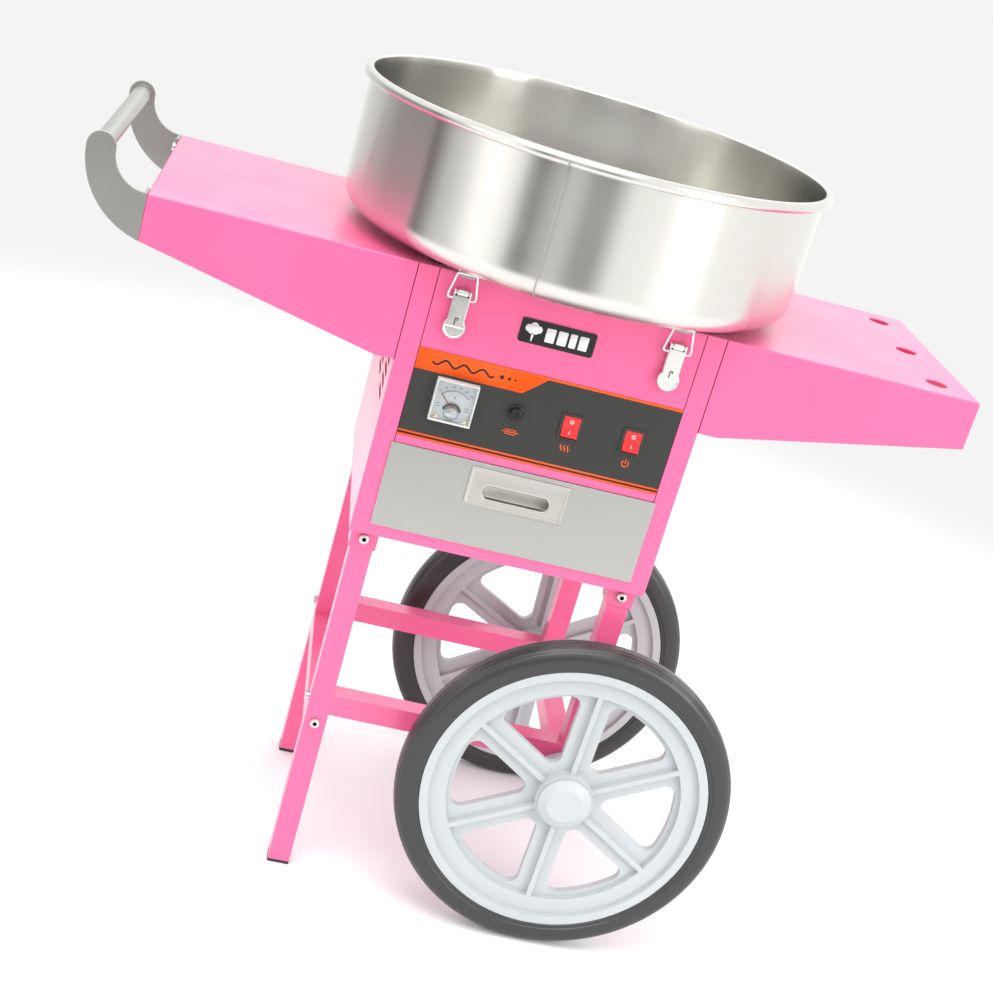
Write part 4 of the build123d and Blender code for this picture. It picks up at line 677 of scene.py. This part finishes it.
def ink(name, colour):
    """Printed colour: even, with a slow drift and a fine tooth, and no worn edge."""
    roughness = 0.42
    made, tree, shader = new_material(name, Specular_IOR_Level=0.3)
    drift = use_group(tree, blotches, Scale=30.0)["Value"]
    shade = mix_colour(tree, remap(tree, drift, 0.0, 1.0), tuple(c * 0.95 for c in colour) + (1,),
                       tuple(colour) + (1,))
    tooth = use_group(tree, fine_grain, Scale=1600.0)["Height"]
    bump = add_node(tree, "ShaderNodeBump", {"Strength": 0.6, "Distance": 0.00001, "Height": tooth})
    tree.links.new(shade, shader.inputs["Base Color"])
    tree.links.new(remap(tree, drift, roughness - 0.03, roughness + 0.05), shader.inputs["Roughness"])
    tree.links.new(bump.outputs[0], shader.inputs["Normal"])
    return made


label_out = -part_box("control_label")[0].y * 1000
first_ink, second_ink = 0.07, 0.12
orange_ink = ink("orange_ink", (0.96, 0.105, 0.004))
black_ink = ink("black_ink", (0.016, 0.014, 0.013))
white_ink = ink("white_ink", (0.88, 0.88, 0.87))
label_low, label_high = ((np.array(corner) - (spin_x, 0, 0)) * 1000 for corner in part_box("control_label"))
left, right_end, top, foot = label_low[0] + 0.1, label_high[0] - 0.1, label_high[2] - 0.1, label_low[2] + 0.1
flash = [(left, top), (left, top - 23.4), (-27.0, top - 23.4), (-3.7, top - 2.8), (right_end, top - 2.8),
         (right_end, top)]
wave_x = np.linspace(-126.0, -60.0, 90)
lower_band = [(left, foot), (right_end, foot), (right_end, foot + 2.1), (left, foot + 2.1)]
middle_band = [(left, foot + 2.1), (right_end, foot + 2.1), (right_end, foot + 4.2), (left, foot + 4.2)]
upper_band = [(left, foot + 4.2), (right_end, foot + 4.2), (right_end, foot + 6.1), (left, foot + 6.1)]
printed("label_flash", [filled(flash), filled(upper_band), filled(lower_band)], label_out + first_ink,
        orange_ink)
printed("label_line",
        [filled(middle_band), stripe(np.stack([wave_x, 639.6 + 3.0 * np.sin(wave_x / 3.1)], 1), 2.2),
         filled(disc(-52.0, 639.6, 2.3)), filled(disc(-44.0, 639.6, 1.7)), filled(disc(-37.6, 639.6, 1.2))],
        label_out + second_ink, black_ink)
heat_waves = [stripe(np.stack([32.2 + at + 0.9 * np.sin(np.linspace(0, 2 * np.pi, 18)),
                               np.linspace(576.6, 583.6, 18)], 1), 1.1)
              for at in (-3.8, 0.0, 3.8)]
fuse_box = np.array([(-33.5, 581.4), (-22.5, 581.4), (-22.5, 586.0), (-33.5, 586.0)])
printed("label_signs",
        heat_waves + [stripe(fuse_box, 1.0, True), stripe([(-37.0, 583.7), (-19.0, 583.7)], 1.0),
                      stripe(arc((99.7, 579.2), 3.6, -230, 50, 30), 1.15),
                      stripe([(99.7, 578.8), (99.7, 584.4)], 1.15)],
        label_out + second_ink, orange_ink)

badge_out = -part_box("badge_plate")[0].y * 1000
puff_turn = np.linspace(0, 2 * np.pi, 120, endpoint=False)
puff_way = np.stack([np.cos(puff_turn), np.sin(puff_turn)], 1)
puff_reach = np.zeros(len(puff_turn))
for centre, radius in (((0.0, 2.0), 4.6), ((-5.0, -0.4), 4.0), ((5.0, -0.4), 4.0), ((-2.2, -2.6), 3.4),
                       ((2.4, -2.6), 3.4)):
    ahead = puff_way @ centre
    aside = puff_way[:, 0] * centre[1] - puff_way[:, 1] * centre[0]
    puff_reach = np.maximum(puff_reach, ahead + np.sqrt(np.maximum(radius ** 2 - aside ** 2, 0)))
puff = filled(puff_way * puff_reach[:, None] + (-34.0, 698.4))
stick = filled([(-34.6, 684.6), (-33.4, 684.6), (-32.6, 692.0), (-35.4, 692.0)])
blocks = [filled(rounded_box(width, height, 1.2) + (across, up)) for across, up, width, height in
          ((-15.6, 694.8, 10.0, 15.0), (-2.8, 694.8, 10.0, 15.0), (8.6, 694.8, 7.4, 15.0),
           (19.8, 694.8, 9.6, 15.0))]
printed("badge_print", [puff, stick] + blocks, badge_out + first_ink, white_ink)

rocker_lean, face_lean = np.radians(6.5), np.arctan2(1.6 + 0.4, 11.3)


def on_rocker(points, half, x):
    """Carries a mark's (across, along) points to a rocker's upper (+1) or lower (-1) face, a hair above it."""
    along = half * 5.65 + points[:, 1]
    out = 6.0 + np.abs(along) * np.tan(face_lean) + 0.10
    turned_out = out * np.cos(rocker_lean) - along * np.sin(rocker_lean)
    turned_up = out * np.sin(rocker_lean) + along * np.cos(rocker_lean)
    return np.column_stack([(points[:, 0] + x) / 1000 + spin_x, -(155.7 + turned_out) / 1000,
                            (604.0 + turned_up) / 1000])


for switch in ("heat", "power"):
    low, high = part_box("rocker_" + switch)
    middle = ((low.x + high.x) / 2 - spin_x) * 1000
    marks = [(stripe(disc(0, 0, 1.75, 32), 0.75, True), 1), (stripe([(0, -1.9), (0, 1.9)], 0.75), -1)]
    shapes = [(on_rocker(points, half, middle), faces, np.zeros((sum(map(len, faces)), 2)))
              for (points, faces), half in marks]
    thickened(piece("marks_" + switch, shapes, switch + "_rocker", white_ink), skin_thickness)

# ----- Meter ----------------------------------------------------------------------------------------------
# A panel voltmeter: a printed card behind the needle, a clear moulded cover with a domed window foot over the
# movement, a thin bright frame, and two brass screws in the lower corners.

meter_low, meter_high = ((np.array(corner) - (spin_x, 0, 0)) * 1000 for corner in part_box("meter_case"))
meter_x, meter_z = (meter_low[0] + meter_high[0]) / 2, (meter_low[2] + meter_high[2]) / 2
card_out, needle_z, scale_radius = 162.3, 594.0, 19.5


def plate(layers, across_at, up_at):
    """Stack of (outline, out) layers as one solid, the first at the back."""
    return loft(np.array([np.column_stack([(outline[:, 0] + across_at) / 1000 + spin_x,
                                           np.full(len(outline), -out / 1000),
                                           (outline[:, 1] + up_at) / 1000]) for outline, out in layers]))


card_paint, tree, shader = new_material("card_paint", Base_Color=(0.93, 0.97, 1.0, 1), Roughness=0.5)
card_outline = rounded_box(41.4, 42.4, 0.6)
piece("meter_card", [plate([(card_outline, 162.12), (card_outline, card_out)], meter_x, meter_z)], "cart",
      card_paint)
ticks = [stripe([(meter_x + np.sin(lean) * inner, needle_z + np.cos(lean) * inner),
                 (meter_x + np.sin(lean) * outer, needle_z + np.cos(lean) * outer)], 0.3)
         for step, lean in enumerate(np.radians(np.linspace(-46, 46, 26)))
         for inner, outer in ((scale_radius, scale_radius + (2.2 if step % 5 == 0 else 1.2)),)]
scale_arc = stripe(arc((meter_x, needle_z), scale_radius, 44, 136, 60), 0.35)
numbers = [word(str(50 * step), 3.0, meter_x + np.sin(lean) * 24.2, needle_z + np.cos(lean) * 24.2 - 0.4)
           for step, lean in enumerate(np.radians(np.linspace(-44, 44, 6)))]
small = [stripe([(meter_x + at, 596.8 - 3.0 * row), (meter_x + at + sign * 4.4, 596.8 - 3.0 * row)], 0.6)
         for at, sign in ((-17.6, 1), (13.2, 1)) for row in (0, 1)]
printed("meter_scale", ticks + [scale_arc, word("V", 5.0, meter_x, 606.0)] + numbers + small, card_out + 0.08,
        black_ink)
arch = np.concatenate([arc((meter_x, 590.0), 10.5, 15, 165, 30), arc((meter_x, 588.6), 8.6, 165, 15, 30)])
printed("meter_arch", [filled(arch)], 164.6, black_ink)
cover_layers = [(rounded_box(41.6, 42.6, 1.0), 166.75), (rounded_box(41.6, 42.6, 1.0), 167.7),
                (rounded_box(40.6, 41.6, 1.4), 168.1)]
cover = piece("meter_cover", [plate(cover_layers, meter_x, meter_z)], "cart", clear_cover)
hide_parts("meter_window")
dome_turn = np.linspace(0, np.pi / 2, 7)
dome = np.stack([np.append(8.4 * np.cos(dome_turn[:-1]), 0.02), 164.7 + 1.9 * np.sin(dome_turn)], 1)
dome_ring = np.linspace(0, 2 * np.pi, 48, endpoint=False)
movement, tree, shader = new_material("movement_cover", Base_Color=(0.62, 0.64, 0.66, 1), Metallic=0.6,
                                      Roughness=0.22)
foot_layers = [(np.stack([radius * np.cos(dome_ring), 0.8 * radius * np.sin(dome_ring)], 1), out)
               for radius, out in np.concatenate([[(8.4, 162.3)], dome])]
piece("meter_foot", [plate(foot_layers, meter_x, 588.4)], "cart", movement)
frame_rows = [(rounded_box(45.0, 46.0, 1.0), 168.05), (rounded_box(44.6, 45.6, 1.0), 168.35),
              (rounded_box(43.0, 44.0, 1.0), 168.35), (rounded_box(42.4, 43.4, 1.0), 168.05)]
frame_points = np.array([np.column_stack([(outline[:, 0] + meter_x) / 1000 + spin_x,
                                          np.full(len(outline), -out / 1000),
                                          (outline[:, 1] + meter_z) / 1000]) for outline, out in frame_rows])
piece("meter_frame", [grid(frame_points, (True, True))], "cart", nickel)
screw_outline = np.stack([np.cos(dome_ring), np.sin(dome_ring)], 1)
screw_layers = [(1.9 * screw_outline, 168.1), (1.9 * screw_outline, 168.4), (1.4 * screw_outline, 168.7)]
piece("meter_screws", [plate(screw_layers, meter_x + at, meter_z - 17.6) for at in (-15.6, 15.6)], "cart", brass)

# ----- Drawer pull ----------------------------------------------------------------------------------------
# A pressed stainless dish let into the drawer front: a bevelled border, a flat field, and a long round-
# ended hole whose lip is rolled inwards over a deep cup.

pull_low, pull_high = ((np.array(corner) - (spin_x, 0, 0)) * 1000 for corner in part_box("drawer_pull"))
pull_x, pull_z = (pull_low[0] + pull_high[0]) / 2, (pull_low[2] + pull_high[2]) / 2
pull_width, pull_height, pull_out = pull_high[0] - pull_low[0], pull_high[2] - pull_low[2], -pull_low[1]


def even(outline, count=200):
    """The same closed outline with points at even distances, from its rightmost middle."""
    start = np.argmax(outline[:, 0] - 1e-3 * np.abs(outline[:, 1]))
    ring = np.concatenate([np.roll(outline, -start, 0), outline[start:start + 1]])
    length = np.concatenate([[0], np.cumsum(np.linalg.norm(np.diff(ring, axis=0), axis=1))])
    at = np.linspace(0, length[-1], count, endpoint=False)
    return np.stack([np.interp(at, length, ring[:, 0]), np.interp(at, length, ring[:, 1])], 1)


def boxed(width, height):
    """Even outline of a box with nearly square corners, starting at the middle of its right side."""
    outline = rounded_box(width, height, 0.8)
    return even(np.concatenate([[(width / 2, 0)], outline]), 240)


def stadium(length, height, drop):
    """Even outline of a round-ended slot, lowered by drop."""
    outline = np.concatenate([[(length / 2, 0)], rounded_box(length, height, height / 2 - 0.01, 16)])
    return even(outline, 240) - (0, drop)


pull_rows = [
    (boxed(pull_width, pull_height), pull_out - 1.2), (boxed(pull_width, pull_height), pull_out - 0.5),
    (boxed(pull_width - 0.8, pull_height - 0.8), pull_out - 0.1),
    (boxed(pull_width - 2.0, pull_height - 2.0), pull_out),
    (boxed(pull_width - 5.0, pull_height - 5.0), pull_out - 0.05),
    (boxed(pull_width - 6.2, pull_height - 6.2), pull_out - 0.75),
    (boxed(pull_width - 8.0, pull_height - 8.0), pull_out - 0.85),
    (stadium(78.0, 20.0, 3.4), pull_out - 0.85),
    (stadium(75.4, 17.4, 3.9), pull_out - 0.75), (stadium(74.2, 16.2, 4.0), pull_out - 1.1),
    (stadium(73.6, 15.6, 4.0), pull_out - 2.0),
    (stadium(73.6, 15.6, 4.0), pull_out - 3.6), (stadium(76.0, 20.0, 3.4), pull_out - 4.2),
    (stadium(92.0, 30.0, 0.5), pull_out - 5.4),
    (stadium(92.0, 30.0, 0.5), pull_out - 13.6), (stadium(84.0, 24.0, 0.5), pull_out - 15.4),
    (stadium(40.0, 4.0, 0.5), pull_out - 15.8),
]
pull_points = np.array([np.column_stack([(outline[:, 0] + pull_x) / 1000 + spin_x,
                                         np.full(len(outline), -out / 1000),
                                         (outline[:, 1] + pull_z) / 1000]) for outline, out in pull_rows])
pull_face = loft(pull_points)
pull_steel = brushed("pull_steel", (0.52, 0.51, 0.465), 0.36, (20.0, 3000.0, 3000.0))
pull = piece("pull_dish", [(pull_face[0], pull_face[1][:-2] + [pull_face[1][-1]], pull_face[2][:-240])],
             "drawer", pull_steel, 60)
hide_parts("drawer_pull")
thickened(pull, 0.0006)

# ----- Seams and bolt heads -------------------------------------------------------------------------------
# A dark strip laid over the joints between the front panel, the posts and the trays is painted shadow for the
# gaps. The frame's bolts are pan heads with a six-sided socket, plated, and domed a little; each socket's floor
# is a dark disc of painted shade.

# painted shadow: a dark maroon strip over each joint line stands in for the shade in the gap
seam_shadow_paint, tree, shader = new_material("seam_shadow_paint", Base_Color=(0.10, 0.006, 0.03, 1), Roughness=0.7)
post_left, post_right, tray_foot, cabinet_top = -165.0, 165.0, 630.5, 735.6
panel_low, panel_high = ((np.array(corner) - (spin_x, 0, 0)) * 1000 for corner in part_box("front_panel"))
seam_shadows = [stripe([(at, low_z), (at, cabinet_top)], 0.9) for at, low_z in
         ((panel_low[0] - 0.1, 448.5), (panel_high[0] + 0.1, 448.5), (post_left, tray_foot),
          (post_right, tray_foot))]
seam_out = 159.56
printed("seam_shadow_strips", seam_shadows, seam_out, seam_shadow_paint)

head_turn = np.linspace(0, 2 * np.pi, 36, endpoint=False)
hexagon = np.cos(np.pi / 6) / np.cos((head_turn + np.pi / 6) % (np.pi / 3) - np.pi / 6)
head_rows = [(5.5, 0.0, 0), (5.45, 0.35, 0), (4.9, 0.85, 0), (4.0, 1.1, 0), (3.3, 1.15, 0), (2.7, 1.1, 1),
             (2.5, 0.2, 1)]


def bolt_head(place, facing):
    """Rings of a domed head round a socket: radius, times the hexagon where marked, and height along facing."""
    facing = np.array(facing, float)
    second = np.array([0.0, 0.0, 1.0])
    first = np.cross(second, facing)
    shape = [np.where(six, hexagon, 1.0)[:, None] * radius
             * (np.cos(head_turn)[:, None] * first + np.sin(head_turn)[:, None] * second)
             + height * facing for radius, height, six in head_rows]
    return np.array(shape) + np.array(place)


leg_across, leg_out, socket_z, low_rail_z, high_rail_z = 145.5, 127.5, 422.5, 190.0, 215.0
bolt_places = [((x, -sign * 146.5, socket_z), (0, -sign, 0)) for x in (-leg_across, leg_across)
               for sign in (1, -1)]
bolt_places += [((-leg_across, -144.0, low_rail_z), (0, -1, 0)), ((leg_across, 144.0, low_rail_z), (0, 1, 0))]
bolt_places += [((sign * 162.0, y, high_rail_z), (sign, 0, 0)) for sign in (1, -1)
                for y in (-leg_out, leg_out)]
heads = [bolt_head(np.array(place) + (spin_x * 1000, 0, 0), facing) / 1000 for place, facing in bolt_places]
piece("bolt_domes", [loft(head) for head in heads], "cart", zinc)
# painted shade: a dark disc over each socket's floor stands in for the shadow in the recess
sockets = [np.stack([head[-1], head[-1] * 0.02 + head[-1].mean(0) * 0.98]) + 0.00004 * np.array(facing)
           for head, (place, facing) in zip(heads, bolt_places)]
piece("bolt_socket_shade", [loft(pair) for pair in sockets], "cart", painted_hole_shade)
